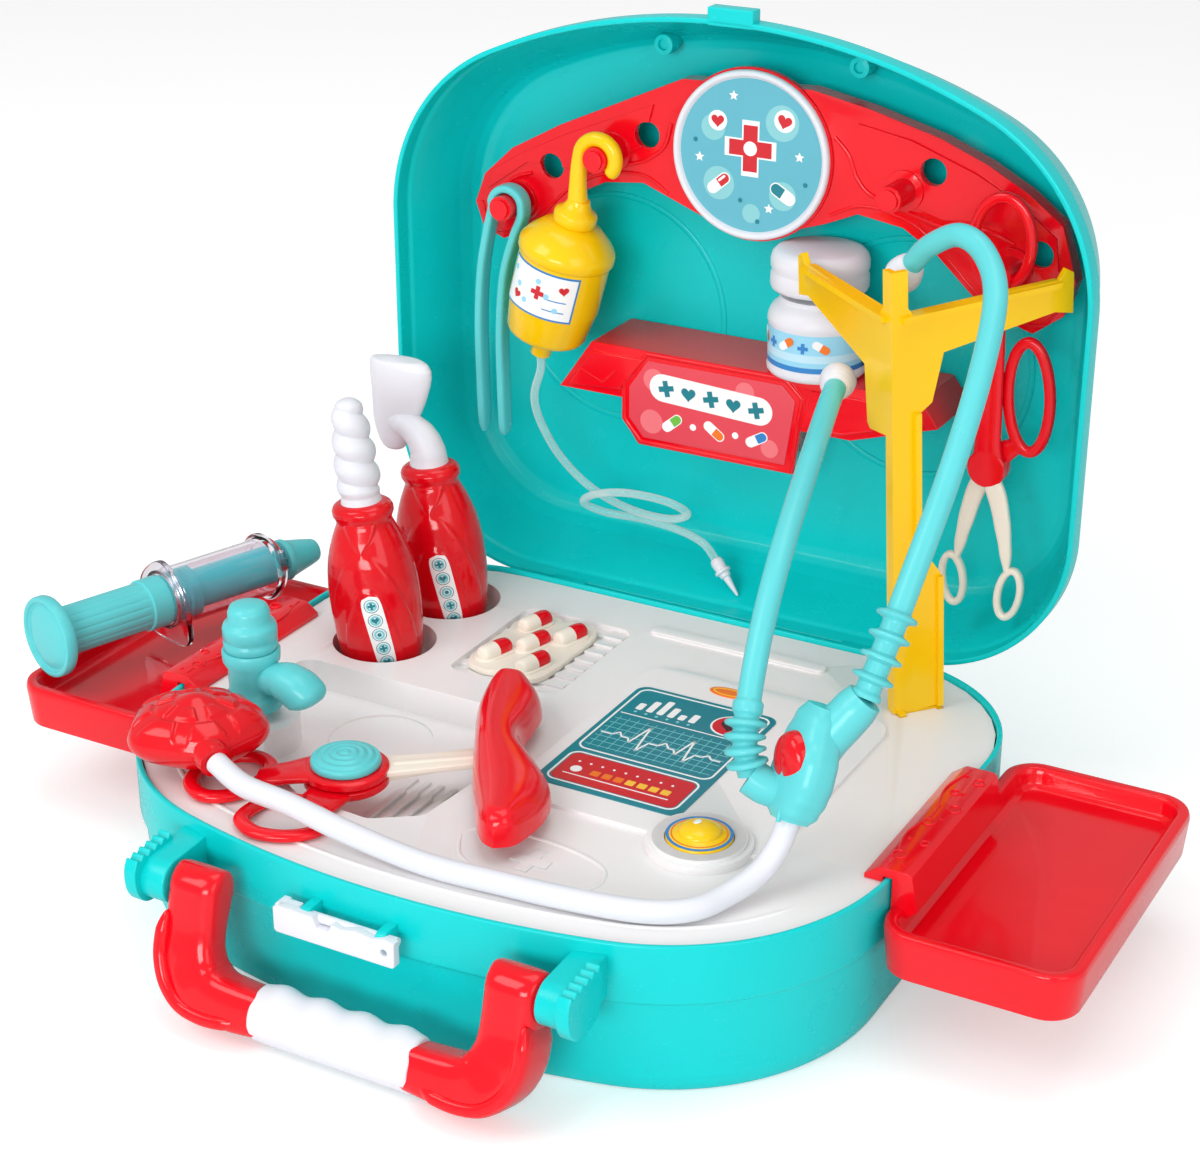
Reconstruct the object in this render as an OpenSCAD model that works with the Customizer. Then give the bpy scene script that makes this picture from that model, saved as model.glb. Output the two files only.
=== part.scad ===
// Toy doctor case, open and set out for play: a carry case whose base holds a play deck and
// whose lid holds a hanger rack and a medicine shelf, with the toy instruments in their places.
// Millimetres. X runs to the right, Y to the hinge, Z up; the origin is under the base's middle.

/* [Case] */
// Width of the case
case_w = 312; // [296:1:330]
// Depth of the case from front to hinge side
case_d = 260; // [248:1:275]
// Height of the base
base_h = 62; // [58:1:70]
// Depth of the lid
lid_depth = 48; // [44:1:56]
// Overhang of the lid's rim over the base's, each side
lid_over = 2.4; // [0:0.2:3]
// Thickness of the case walls
wall = 2.2; // [1.8:0.1:2.6]
// Height of the band under the base's rim
band_h = 23; // [16:1:28]
// Draft of the base's walls, from rim to foot
draft = 3.4; // [2.4:0.1:4.5]
// Radius of the bowed front
bow_r = 361; // [330:1:420]
// Radius of the front corners
front_r = 91; // [75:1:95]
// Radius of the corners beside the hinge
back_r = 66; // [50:1:75]

/* [Hinge] */
// Distance of the hinge axis behind the base's back wall
hinge_back = 0.5; // [0.2:0.1:1.2]
// Distance of the hinge axis below the base's rim
hinge_drop = 4.8; // [4.2:0.1:6]
// Distance of each hinge from the middle
hinge_x = 70; // [55:1:80]
// Width of the lid's knuckle
knuckle_w = 16; // [12:1:22]
// Radius of the knuckles
knuckle_r = 2.4; // [2.2:0.1:2.8]
// Radius of the lid's stub pins
hinge_pin_r = 1.2; // [1:0.1:1.4]

/* [Deck] */
// Distance of the deck's top below the rim
deck_drop = 2; // [1.5:0.1:3]
// Thickness of the deck
deck_t = 2.2; // [1.8:0.1:2.6]
// Depth of the sink basin
basin_deep = 13; // [9:1:18]
// Radius of the two instrument holes
cup_r = 22; // [20:0.5:24]
// Depth of the instrument cups
cup_deep = 15; // [10:1:20]
// Depth of the pill tray's recess
pill_deep = 3.4; // [2.5:0.1:4.5]
// Height of the raised panel under the monitor
panel_h = 1.6; // [1:0.1:2.4]
// Radius of the press button's boss
boss_r = 17.5; // [16:0.5:20]
// Height of the press button's boss above the panel
boss_h = 4.6; // [3.5:0.1:6]

/* [Clearances] */
// Gap round a piece that is lifted out by hand
loose = 0.4; // [0.3:0.05:0.6]
// Radial gap of a pin that turns in its bore
running = 0.06; // [0.04:0.01:0.1]
// Gap between a resting piece and its seat
rest_gap = 0.15; // [0.1:0.05:0.3]

/* [Handle] */
// Distance between the handle's arms, middle to middle
handle_span = 132; // [120:1:140]
// Width of each arm
arm_w = 21; // [18:0.5:24]
// Length from pivot to the grip's middle
handle_reach = 37; // [34:1:44]
// Angle at which the handle leans on the table, from straight down
handle_lean = 19; // [15:1:24]
// Radius of the white grip
grip_r = 11; // [10:0.5:12]
// Length of the white grip
grip_len = 67; // [60:1:76]
// Radius of the pivot pins
handle_pin_r = 4; // [3:0.5:5]

/* [Trays] */
// Length of a side tray along the case
tray_len = 143; // [128:1:150]
// Width of a side tray
tray_w = 76; // [68:1:86]
// Height of a side tray's wall
tray_h = 19; // [15:1:22]
// Level of a side tray's rim above the table
tray_z = 52; // [48:1:54]
// Depth of a side tray's dish
tray_deep = 8; // [5:0.5:11]
// Length of the strap that hooks over the rim
strap_len = 84; // [70:1:96]

/* [IV stand] */
// Height of the stand above the deck
stand_h = 181; // [165:1:186]
// Reach of each arm from the post
arm_reach = 77; // [66:1:80]
// Lean of the stand in its slot, in degrees
stand_lean = 3.4; // [2:0.1:3.6]
// Width of the post's foot
foot_w = 20; // [17:0.5:22]

/* [Lid fittings] */
// Depth of the hanger rack, from the lid's panel to its face
rack_deep = 21; // [18:1:24]
// Radius of the badge's border
badge_r = 35; // [32:0.5:36]
// Depth of the medicine shelf
shelf_deep = 37; // [34:1:39]
// Radius of the hanging pegs
peg_r = 5.4; // [4.5:0.1:6]
// Length of the pegs in front of the rack
peg_len = 19; // [17:0.5:20]

/* [Instruments] */
// Radius of the drip bottle
iv_r = 21; // [19:0.5:22]
// Radius of the pill bottle
pill_r = 21; // [19:0.5:21.5]
// Height of the pill bottle with its cap
pill_h = 53; // [50:1:56]
// Radius of the syringe's barrel
barrel_r = 13; // [11.5:0.5:14]
// Length of the syringe's barrel
barrel_len = 76; // [68:1:80]
// Radius of the plunger's thumb disc
thumb_r = 17.5; // [16:0.5:18]
// Outer diameter of the stethoscope's hose
hose_d = 8.6; // [8:0.1:9]
// Outer diameter of the drip's tube
drip_d = 3.6; // [3.2:0.1:4]

/* [Hidden] */
// Places worked out from the sizes above
half_w = case_w / 2;
front_y = -case_d / 2;
back_y = case_d / 2;
hinge_y = back_y + hinge_back;
hinge_z = base_h - hinge_drop;
lid_y = hinge_y + hinge_drop;
lid_z = hinge_z + hinge_back;
lid_in = lid_y + lid_depth - wall;
deck_z = base_h - deck_drop;
panel_z = deck_z + panel_h;
basin_z = deck_z - basin_deep;
// Places on the deck, measured from its middle
cup_front = [-108, 43];
cup_back = [-106, 92];
tap_at = [-116, -38];
button_at = [86, -45];
stand_at = [107.4, back_y - 44.5];
stand_turn = 51;
screw_at = [[-138, -16], [123, -77], [-60, 115], [126, 60]];

// Places in the lid
badge_z = lid_z + case_d - 61;
rack_y = lid_in - rack_deep;
peg_y = rack_y - peg_len;
peg_in = [65, -5];
peg_out = [112, -29];
// How far the lid's fittings, the deck's toys and the lid itself move when the case's sizes change
rack_up = badge_z - 256.7;
shelf_up = lid_z - 57.7;
deck_up = deck_z - 60;
lid_back = lid_in - 181.1;
deck_back = back_y - 130;
// Points of a toy that lies on the deck and reaches over the stand
function set_out(p) = [for (q = p) q + [0, deck_back * min(1, max(0, (q[1] + 50) / 135)), deck_up]];

// A function for points on an arc, and the case's outline drawn in by o
function arc(c, r, a0, a1, n, from = 0, to = 1) =
  [for (i = [from : n * to]) c + r * [cos(a0 + (a1 - a0) * i / n), sin(a0 + (a1 - a0) * i / n)]];
function yk(r, rc, w, f) = f + r - sqrt(pow(r - rc, 2) - pow(w - rc, 2));
function bow_a(r, rc, w, f) = atan2(yk(r, rc, w, f) - f - r, w - rc);
// The outline has half width w, a front at f bowed to radius r, front corners rc and back corners rb
function outline_pts(o, w, f, r, rc, rb) = let (g = bow_a(r, rc, w, f), c = [w - rc, yk(r, rc, w,
  f)]) concat(
  arc([0, f + r], r - o, -180 - g, g, 16),
  arc(c, rc - o, g, 0, 9, 1),
  arc([w - rb, back_y - rb], rb - o, 0, 90, 8),
  arc([rb - w, back_y - rb], rb - o, 90, 180, 8),
  arc([-c[0], c[1]], rc - o, 180, 180 - g, 9, 0, 8 / 9));
function case_pts(o) = outline_pts(o, half_w, front_y, bow_r, front_r, back_r);
function lid_pts(o) = outline_pts(o, half_w + lid_over, front_y + 2.4, 0.74 * bow_r, 0.91 * front_r,
  back_r);
function unit(v) = v / norm(v);
function to3(pts, z) = [for (p = pts) [p[0], p[1], z]];

// A closed body through rings of points that all have the same count
module loft(rings) {
  n = len(rings[0]);
  m = len(rings);
  sides = [for (k = [0 : m - 2]) for (i = [0 : n - 1]) for (t = [0, 1])
    t == 0 ? [k * n + i, (k + 1) * n + i, (k + 1) * n + (i + 1) % n]
           : [k * n + i, (k + 1) * n + (i + 1) % n, k * n + (i + 1) % n]];
  caps = [[for (i = [0 : n - 1]) i], [for (i = [n - 1 : -1 : 0]) (m - 1) * n + i]];
  polyhedron(points = [for (r = rings) each r], faces = concat(sides, caps));
}

// Points on a smooth curve through hand-chosen points, k steps between each two
function spline(p, k) = let (n = len(p) - 1) concat([for (i = [0 : n - 1]) for (j = [0 : k - 1])
  let (a = p[max(i - 1, 0)], b = p[i], c = p[i + 1], d = p[min(i + 2, n)], t = j / k)
  0.5 * (2 * b + (c - a) * t + (2 * a - 5 * b + 4 * c - d) * t * t + (3 * b - a - 3 * c + d) * t * t * t)],
  [p[n]]);
function tangents(p) = let (n = len(p) - 1)
  [for (i = [0 : n]) unit(p[min(i + 1, n)] - p[max(i - 1, 0)])];
// Normals carried along the curve without twist
function normals(t, up) = [for (i = 0, n = unit(up - (up * t[0]) * t[0]); i < len(t);
  i = i + 1, n = i < len(t) ? unit(n - (n * t[i]) * t[i]) : n) n];
// A tube or body along points p, with half width a and half height b at each point
module along(p, a, b, sides = 12, up = [0, 0, 1], square = 0) {
  t = tangents(p);
  n = normals(t, up);
  loft([for (i = [0 : len(p) - 1]) let (w = cross(n[i], t[i]))
    [for (j = [0 : sides - 1]) let (g = 360 * (j + 0.5) / sides,
      s = 1 / pow(pow(abs(cos(g)), 2 + square) + pow(abs(sin(g)), 2 + square), 1 / (2 + square)))
      p[i] + s * (a[i] * cos(g) * w + b[i] * sin(g) * n[i])]]);
}
function fill(v, n) = [for (i = [0 : n - 1]) v];

// A plate in the XZ plane, its front face at y and d thick
module slab(y, d) translate([0, y + d, 0]) rotate([90, 0, 0]) linear_extrude(d) children();
// A rounded rectangle from corner a to corner b
module pad2d(a, b, r) {
  translate([a[0] + r, a[1]]) square([b[0] - a[0] - 2 * r, b[1] - a[1]]);
  translate([a[0], a[1] + r]) square([b[0] - a[0], b[1] - a[1] - 2 * r]);
  for (x = [a[0] + r, b[0] - r], y = [a[1] + r, b[1] - r]) translate([x, y]) circle(r, $fn = 32);
}
module both() { children(); mirror([1, 0, 0]) children(); }
module rod(r, h, at = [0, 0, 0]) translate(at) cylinder(r = r, h = h, $fn = 48);
// A rod along Y from y0 to y1
module rod_y(r, y0, y1, x = 0, z = 0) translate([x, y1, z]) rotate([90, 0, 0]) cylinder(r = r,
  h = y1 - y0, $fn = 48);
// A rod along X from x0 to x1
module rod_x(r, x0, x1, y = 0, z = 0) translate([x0, y, z]) rotate([0, 90, 0]) cylinder(r = r,
  h = x1 - x0, $fn = 48);

// Base of the case: drafted tub with a rim band, handle lugs, latch pegs and hinge knuckles
lug_in = handle_span / 2 + arm_w / 2 + loose;
lug_w = 15;
pivot_y = front_y - 9;
pivot_z = base_h - 14;
peg_latch = [-22, 10];
latch_y = front_y - 6;
latch_z = base_h - 13;
latch_pin_r = 1.8;
post_r = 4.5;
seat_z = 10;
function tub_rings() = [[8, 0], [5.2, 0.8], [draft + 0.7, 3], [draft, 7], [1.3, base_h - band_h - 0.8],
  [0, base_h - band_h], [0, base_h - 0.8], [0.8, base_h], [wall - 0.6, base_h], [wall, base_h - 0.6],
  [wall + 0.1, base_h - band_h], [wall + draft, 6], [wall + 6, wall]];
module lug() {
  // outer cheek that carries the pivot pin, with the wavy finger ribs on its outside
  difference() {
    translate([lug_in, 0, 0]) rotate([90, 0, 90]) linear_extrude(lug_w) polygon(concat(
      [[front_y + 13, pivot_z + 9], [front_y + 13, pivot_z - 8]],
      arc([pivot_y, pivot_z], 8.5, 230, 120, 8)));
    for (i = [0 : 4]) rod(2, 40, [lug_in + lug_w + 1.2, pivot_y - 5 + 5 * i, pivot_z - 20]);
  }
  rod_x(handle_pin_r, lug_in - 14, lug_in + 1, pivot_y, pivot_z);
}
module base_knuckles() {
  for (x = [hinge_x - knuckle_w / 2 - 4.6, hinge_x + knuckle_w / 2 + 0.3]) difference() {
    union() {
      rod_x(knuckle_r, x, x + 4.3, hinge_y, hinge_z);
      translate([x, back_y - 0.6, hinge_z - knuckle_r]) cube([4.3, hinge_back + 0.6, 2 * knuckle_r]);
    }
    rod_x(hinge_pin_r + running, x - 1, x + 6, hinge_y, hinge_z);
  }
}
module base_shell() color([0, 0.75, 0.75]) {
  difference() {
    union() {
      loft([for (r = tub_rings()) to3(case_pts(r[0]), r[1])]);
      for (p = screw_at) rod(post_r + 2, seat_z - 1, [p[0], p[1], 1]);
      both() lug();
    }
    for (p = screw_at) {
      rod(1.9, seat_z + 2, [p[0], p[1], -1]);
      rod(4, 5, [p[0], p[1], -1]);
    }
    both() translate([hinge_x - knuckle_w / 2 - 0.3, back_y - 3.4, hinge_z - knuckle_r - 0.5])
      cube([knuckle_w + 0.6, 6, 20]);
    // the wall clears the lid's stub pins inside the knuckles' bores
    both() for (x = [hinge_x - knuckle_w / 2 - 4.8, hinge_x + knuckle_w / 2 + 0.2])
      rod_x(hinge_pin_r + running, x, x + 4.6, hinge_y, hinge_z);
  }
  both() base_knuckles();
  // pegs on which the latch swings
  for (x = peg_latch) difference() {
    translate([x - 2, 0, 0]) rotate([90, 0, 90]) linear_extrude(4) polygon(concat(
      [[front_y + 2.5, latch_z + 3], [front_y + 2.5, latch_z - 4]], arc([latch_y, latch_z], 3, 250, 90,
        8)));
    rod_x(latch_pin_r + running, x - 3, x + 3, latch_y, latch_z);
  }
}

// Play deck
basin_pts = [[-128, 13], [-34, 13], [-18, 2], [-10, -42], [-13, -74], [-30, -86], [-62, -84], [-92, -66],
  [-104, -48], [-128, -30]];
pill_a = [-71, 33];
pill_b = [-19, 101];
screen_a = [9, -33];
screen_b = [71, 55];
module basin2d(o) offset(r = 7 - o, $fn = 32) offset(delta = -7) polygon(basin_pts);
module panel2d() {
  pad2d([3, -46], [112, 76], 14);
}
module foot2d(gap) {
  // section of the stand's foot: web, wide front flange and back flange
  translate([-gap, -4 - gap]) square([2.6 + 2 * gap, 8 + 2 * gap]);
  translate([-gap, -1.4 - gap]) square([foot_w + 2 * gap, 2.8 + 2 * gap]);
  translate([foot_w - 2.4 - gap, -3 - gap]) square([2.4 + 2 * gap, 6 + 2 * gap]);
}
module at_stand() translate([stand_at[0], stand_at[1], 0]) rotate([0, 0, stand_turn]) children();
slot_deep = 8;
module deck_panel() color([0.91, 0.9, 0.885]) difference() {
  union() {
    translate([0, 0, deck_z - deck_t]) linear_extrude(deck_t) polygon(case_pts(wall + 0.45));
    translate([0, 0, deck_z - 0.1]) linear_extrude(panel_h + 0.1) panel2d();
    translate([0, 0, basin_z - deck_t]) linear_extrude(basin_deep) basin2d(-deck_t);
    for (c = [cup_front, cup_back]) rod(cup_r + deck_t, cup_deep + deck_t - 1, [c[0], c[1],
      deck_z - cup_deep - deck_t]);
    translate([0, 0, deck_z - pill_deep - deck_t]) linear_extrude(pill_deep)
      pad2d(pill_a - [2, 2], pill_b + [2, 2], 8);
    translate([0, 0, deck_z - slot_deep - 2]) linear_extrude(slot_deep) at_stand_2d() offset(delta = 2) foot2d(loose);
    // boss of the press button and the raised bar behind the monitor
    rod(boss_r, boss_h, [button_at[0], button_at[1], deck_z]);
    rod(button_r + 2.2, 8, [button_at[0], button_at[1], deck_z - 8]);
    translate([0, 0, deck_z]) linear_extrude(1.2) pad2d([-13, 102], [68, 109], 3.4);
    rod(boss_r + 2.2, 1.4 + panel_h, [button_at[0], button_at[1], deck_z]);
    for (p = screw_at) rod(post_r, deck_z - seat_z - 0.5, [p[0], p[1], seat_z]);
    // guide of the button's stem, below the boss
    rod(6, 7, [button_at[0], button_at[1], deck_z - 14]);
  }
  difference() {
    translate([0, 0, basin_z]) linear_extrude(basin_deep + 9) basin2d(0);
    // tap boss that rises out of the basin
    rod(18, basin_deep + 5, [tap_at[0], tap_at[1], basin_z - 1]);
    // draining ribs
    for (i = [0 : 5]) translate([-44 + 6 * i, -100, basin_z - 1]) cube([2.4, 66, 2.2]);
  }
  // round bowl sunk a little into the basin's floor
  rod(21, 3, [-74, -12, basin_z - 1]);
  for (c = [cup_front, cup_back]) rod(cup_r, cup_deep + 5, [c[0], c[1], deck_z - cup_deep]);
  difference() {
    translate([0, 0, deck_z - pill_deep]) linear_extrude(10) pad2d(pill_a, pill_b, 6);
    for (i = [0 : 7]) translate([pill_a[0] - 1, pill_a[1] + 2.5 + 8.3 * i,
      deck_z - pill_deep - 1]) cube([60, 4.6, 2.2]);
  }
  translate([0, 0, deck_z - slot_deep]) linear_extrude(20) at_stand_2d() foot2d(loose);
  translate([button_at[0], button_at[1], 0]) {
    rod(3 + running, 40, [0, 0, deck_z - 20]);
    rod(button_r + 0.4, 20, [0, 0, cup_z]);
  }
  for (p = screw_at) rod(1.35, 30, [p[0], p[1], seat_z - 1]);
  // bore of the tap's stem
  rod(tap_stem_r + running, 30, [tap_at[0], tap_at[1], basin_z + 6]);
}
module at_stand_2d() translate(stand_at) rotate(stand_turn) children();
button_r = 12.4;
cup_z = deck_z - 6;
tap_stem_r = 5;
tap_boss_z = basin_z - 1 + basin_deep + 5;
module deck_screws() color([0.6, 0.6, 0.62]) for (p = screw_at) {
  rod(1.35, 18, [p[0], p[1], 5]);
  rod(3.4, 1.6, [p[0], p[1], 4 - 1.6]);
  rod(1.8, 2, [p[0], p[1], 3.4]);
}
module monitor_label() color([0.05, 0.5, 0.55]) translate([0, 0,
  panel_z]) linear_extrude(0.4) pad2d(screen_a, screen_b, 5);

// Press button with its domed cap, stem and snap end; the spring sits round the stem
module press_button() color([1, 0.78, 0.05]) translate([button_at[0], button_at[1], 0]) {
  rotate_extrude($fn = 48) polygon([[0, cup_z + 8], [button_r, cup_z + 8], [button_r, deck_z + boss_h],
    [button_r - 0.6, deck_z + boss_h + 1], [button_r - 3.4, deck_z + boss_h + 1.6],
    [button_r - 4.4, deck_z + boss_h + 3.2], [button_r - 7.5, deck_z + boss_h + 4.6], [0,
      deck_z + boss_h + 5.2]]);
  rod(3, 24.3, [0, 0, deck_z - 16]);
  rod(4, 1.6, [0, 0, deck_z - 14.15 - 1.6]);
}
module button_spring() color([0.7, 0.7, 0.72]) translate([button_at[0], button_at[1], 0])
  along([for (i = [0 : 40]) [5 * cos(36 * i), 5 * sin(36 * i), cup_z + 0.6 + 6.8 * i / 40]],
    fill(0.5, 41), fill(0.5, 41), 6);

// Carry handle, grip and latch
arm_x = handle_span / 2;
module at_handle() translate([0, pivot_y, pivot_z]) rotate([-handle_lean, 0, 0]) children();
module handle_frame() color([0.88, 0.02, 0.12]) at_handle() difference() {
  union() {
    both() {
      rod_x(8.6, arm_x - arm_w / 2, arm_x + arm_w / 2);
      along(spline([[arm_x, 0, -1], [arm_x, 0, -13], [arm_x - 1, 0, -26], [arm_x - 8, 0, -36],
        [arm_x - 19, 0, -handle_reach], [grip_len / 2 + 0.2, 0, -handle_reach]], 3),
        [for (i = [0 : 15]) arm_w / 2 * (1 + 0.12 * max(0, sin(20 * (i - 5))))],
          [for (i = [0 : 15]) 7.4 + 0.2 * i], 14, [0, -1, 0], 1.4);
      // raised sweep on the outside of each arm
      along(spline([[arm_x + 5, -7.2, -6], [arm_x + 2, -8.4, -22], [arm_x - 7, -9.4, -34], [arm_x - 22,
        -9.6, -41]], 3),
        [for (i = [0 : 9]) 1 + 3 * sin(20 * i)], fill(1.6, 10), 8, [0, -1, 0]);
    }
    rod_x(6, -grip_len / 2 - 3, grip_len / 2 + 3, 0, -handle_reach);
  }
  both() rod_x(handle_pin_r + running, arm_x - arm_w, arm_x + arm_w);
}
module handle_grip() color([0.93, 0.92, 0.95]) at_handle() difference() {
  along([for (i = [0 : 24]) [(i / 24 - 0.5) * grip_len, 0, -handle_reach]],
    [for (i = [0 : 24]) grip_r - 0.7 + 0.6 * cos(60 * i)], fill(grip_r, 25), 16, [0, -1, 0], 0.4);
  rod_x(6 + running, -grip_len, grip_len, 0, -handle_reach);
}
module front_latch() color([0.95, 0.94, 0.92]) difference() {
  union() {
    translate([-34, 0, 0]) rotate([90, 0, 90]) linear_extrude(51) polygon([[latch_y - 3, latch_z + 2.6],
      [latch_y + 2.6, latch_z + 2.6], [latch_y + 2.6, latch_z - 2], [latch_y - 0.6, latch_z - 4],
      [latch_y - 0.6, latch_z - 8.4], [latch_y - 4, latch_z - 8.4], [latch_y - 4.4, latch_z - 1]]);
    rod_x(latch_pin_r, -33, 16, latch_y, latch_z);
  }
  for (x = peg_latch) translate([x - 2.4, 0, 0]) difference() {
    translate([0, latch_y - 8, latch_z - 3.4]) cube([4.8, 16, 8]);
    rod_x(latch_pin_r, -1, 6, latch_y, latch_z);
  }
  // notch at the latch's left end
  translate([-35, latch_y - 8, latch_z - 5.4]) cube([5, 6.6, 4.6]);
}

// Side trays that hook over the rim
tray_mid = 18.5;
strap_mid = 6.5;
function rr_pts(x0, y0, x1, y1, r, o) = concat(
  arc([x1 - r, y0 + r], r - o, -90, 0, 5), arc([x1 - r, y1 - r], r - o, 0, 90, 5),
  arc([x0 + r, y1 - r], r - o, 90, 180, 5), arc([x0 + r, y0 + r], r - o, 180, 270, 5));
function tray_pts(o) = rr_pts(half_w + 0.6, tray_mid - tray_len / 2, half_w + 0.6 + tray_w - 2,
  tray_mid + tray_len / 2, 14, o);
module tray() {
  rim = half_w + 0.6;
  bottom = tray_z - tray_h;
  difference() {
    loft([for (r = [[3.4, bottom], [2, bottom + 0.8], [0.2, tray_z - 2], [0.8, tray_z], [4.6, tray_z],
      [5.4, tray_z - 0.8], [6.6, tray_z - tray_deep + 2], [8.6,
        tray_z - tray_deep]]) to3(tray_pts(r[0]), r[1])]);
    loft([for (r = [[5.4, bottom - 1], [2.8, tray_z - tray_deep - 2.2]]) to3(tray_pts(r[0]), r[1])]);
  }
  translate([0, strap_mid + strap_len / 2, 0]) rotate([90, 0, 0]) linear_extrude(strap_len) polygon([
    [half_w - 10, deck_z + rest_gap], [half_w - 10, deck_z + 1.6], [half_w - 5.4, base_h + 3.2],
    [half_w - 4, base_h + 4], [half_w + 6.5, base_h + 4], [half_w + 8, base_h + 3], [half_w + 10.5,
      tray_z - 0.6],
    [rim + 4, tray_z - 6], [rim, tray_z - 6], [rim, base_h + loose], [half_w - wall - 0.5, base_h + loose],
    [half_w - wall - 0.5, deck_z + rest_gap]]);
  // raised relief on the strap
  for (y = [-24, 0, 24]) translate([half_w - 3, strap_mid + y - 9, base_h + 3.9]) linear_extrude(0.9)
    polygon([[0, 3], [3, 0], [8, 4], [6, 9], [8.6, 14], [3, 18], [0, 15], [2.6, 9]]);
}
module right_tray() color([0.86, 0.02, 0.12]) tray();
module left_tray() color([0.86, 0.02, 0.12]) mirror([1, 0, 0]) tray();

// Tap: swivelling body with its spout, and the knob on top
tap_z = tap_boss_z + rest_gap;
tap_top = tap_z + 25;
module tap_body() color([0.1, 0.72, 0.72]) translate([tap_at[0], tap_at[1], 0]) difference() {
  union() {
    rod(tap_stem_r, 11, [0, 0, tap_z - 9.5]);
    rotate_extrude($fn = 48) polygon([[0, tap_z], [11.4, tap_z], [11.4, tap_z + 5], [9.6, tap_z + 6.5],
      [9.6, tap_z + 17], [11.2, tap_z + 20], [11.6, tap_top], [0, tap_top]]);
    along(spline([[0, 0, tap_z + 9], [9, -1, tap_z + 13.5], [18, -2, tap_z + 15], [26, -3, tap_z + 12.5],
      [31, -3, tap_z + 7.5]], 3), [for (i = [0 : 12]) 7.4 + 0.9 * sin(15 * i)],
        [for (i = [0 : 12]) 6.6 + 0.6 * sin(15 * i)],
      14, [0, 0, 1], 0.6);
  }
  rod(3 + running, 12, [0, 0, tap_top - 9]);
}
module tap_knob() color([0.1, 0.72, 0.72]) translate([tap_at[0], tap_at[1], tap_top + rest_gap])
  rotate_extrude($fn = 48) polygon([[0, -8], [3, -8], [3, 0], [10.6, 0], [10.8, 9.5], [9.8, 11], [8.4,
    11.4],
    [8.2, 17], [6.6, 18.6], [0, 19.2]]);

// IV stand: two wings at a right angle, leaning a little in the deck's slot
module wing(p, t) rotate([90, 0, 0]) translate([0, 0, -t / 2]) linear_extrude(t) polygon(p);
module at_lean() translate([stand_at[0], stand_at[1], deck_z + 0.4]) rotate([0, -stand_lean, 0])
  rotate([0, 0, stand_turn]) children();
arm_z = stand_h - 16.5;
module stand_arm(foot, shoulder) {
  wing(concat([[-1.4, 0]], foot, shoulder, [[arm_reach - 8, arm_z - 9.5], [arm_reach, arm_z - 11],
    [arm_reach, arm_z + 5], [arm_reach - 3, arm_z + 6.8], [arm_reach - 6, arm_z + 2.6], [8, arm_z - 1],
    [5.5, arm_z + 2], [5.5, stand_h], [-1.4, stand_h]]), 2.8);
  wing([[3, arm_z - 3.4], [arm_reach - 6, arm_z], [arm_reach - 5.6, arm_z + 2.4], [3, arm_z - 1]], 7);
}
module iv_stand() color([1, 0.78, 0]) {
  at_lean() {
    stand_arm([[foot_w, 0], [foot_w, 56], [foot_w - 4, 62], [10, 68]], [[10, 124], [15.7, 128], [20.7,
      147]]);
    wing([[foot_w - 2.4, 0], [foot_w, 0], [foot_w, 56], [foot_w - 2.4, 56]], 6);
    wing([[7.6, 66], [10, 66], [10, 125], [7.6, 125]], 7.5);
    rotate([0, 0, 90]) stand_arm([[4, 0], [4, 115]], [[4, 116], [17, 115], [19, 117], [21, 140]]);
  }
  translate([0, 0, deck_z - slot_deep + rest_gap]) at_stand() {
    translate([0, -4, 0]) cube([2.6, 8, slot_deep + 1.4]);
    translate([0, -1.4, 0]) cube([foot_w, 2.8, slot_deep + 0.6]);
    translate([foot_w - 2.4, -3, 0]) cube([2.4, 6, slot_deep]);
  }
}

// Lid of the case, drawn closed and turned up to its open place
module lid_frame() translate([0, lid_y, lid_z + case_d / 2]) rotate([-90, 0, 0]) children();
module lid_shell() color([0, 0.75, 0.75]) {
  difference() {
    lid_frame() union() {
      // the body, then the hollow taken out of it
      difference() {
        loft([for (r = [[0.6, 0], [0, 0.6], [0, 9], [1.2, 10], [6, 26], [9.4, lid_depth - 11], [12,
          lid_depth - 4.4],
          [15, lid_depth - 1.2], [19, lid_depth]]) to3(lid_pts(r[0]), r[1])]);
        loft([for (r = [[wall, -1], [wall, 8], [wall + 1.2, 10], [8.2, 26], [11.6, lid_depth - 12],
          [14.6, lid_depth - 6],
          [17.4, lid_depth - wall - 0.9], [21, lid_depth - wall]]) to3(lid_pts(r[0]), r[1])]);
      }
    }
    for (p = lid_screw_at) rod_y(1.7, lid_in - 4, lid_in + 8, p[0], p[1]);
  }
  // round ridges pressed into the panel
  for (c = [[-70, lid_z + 116], [70, lid_z + 116]]) slab(lid_in - 0.7, 0.9) translate(c) difference() {
    circle(52, $fn = 64);
    circle(50.4, $fn = 64);
  }
  // screw bosses along the wall
  for (p = [[-96, 62.6], [-44, 108.6], [44, 108.6], [96, 62.6]])
    rod_y(4.2, lid_in - 12, lid_in + 1, p[0], lid_z + case_d / 2 + p[1] * case_d / 260);
  // tab for the latch
  translate([-7, lid_y, lid_z + case_d - 4]) cube([20, 7, 6.4]);
  // webs and stub pins of the hinges
  both() {
    translate([hinge_x - knuckle_w / 2, 0, 0]) rotate([90, 0, 90]) linear_extrude(knuckle_w) polygon(concat(
      [[lid_y + 5, lid_z + 1], [lid_y + 5, lid_z + 0.2], [lid_y + 0.8, lid_z - 2.4]],
      arc([hinge_y, hinge_z], knuckle_r, 300, 60, 8), [[lid_y + 1.2, lid_z + 2.4]]));
    rod_x(hinge_pin_r, hinge_x - knuckle_w / 2 - 4.2, hinge_x + knuckle_w / 2 + 4.2, hinge_y, hinge_z);
  }
}

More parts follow.
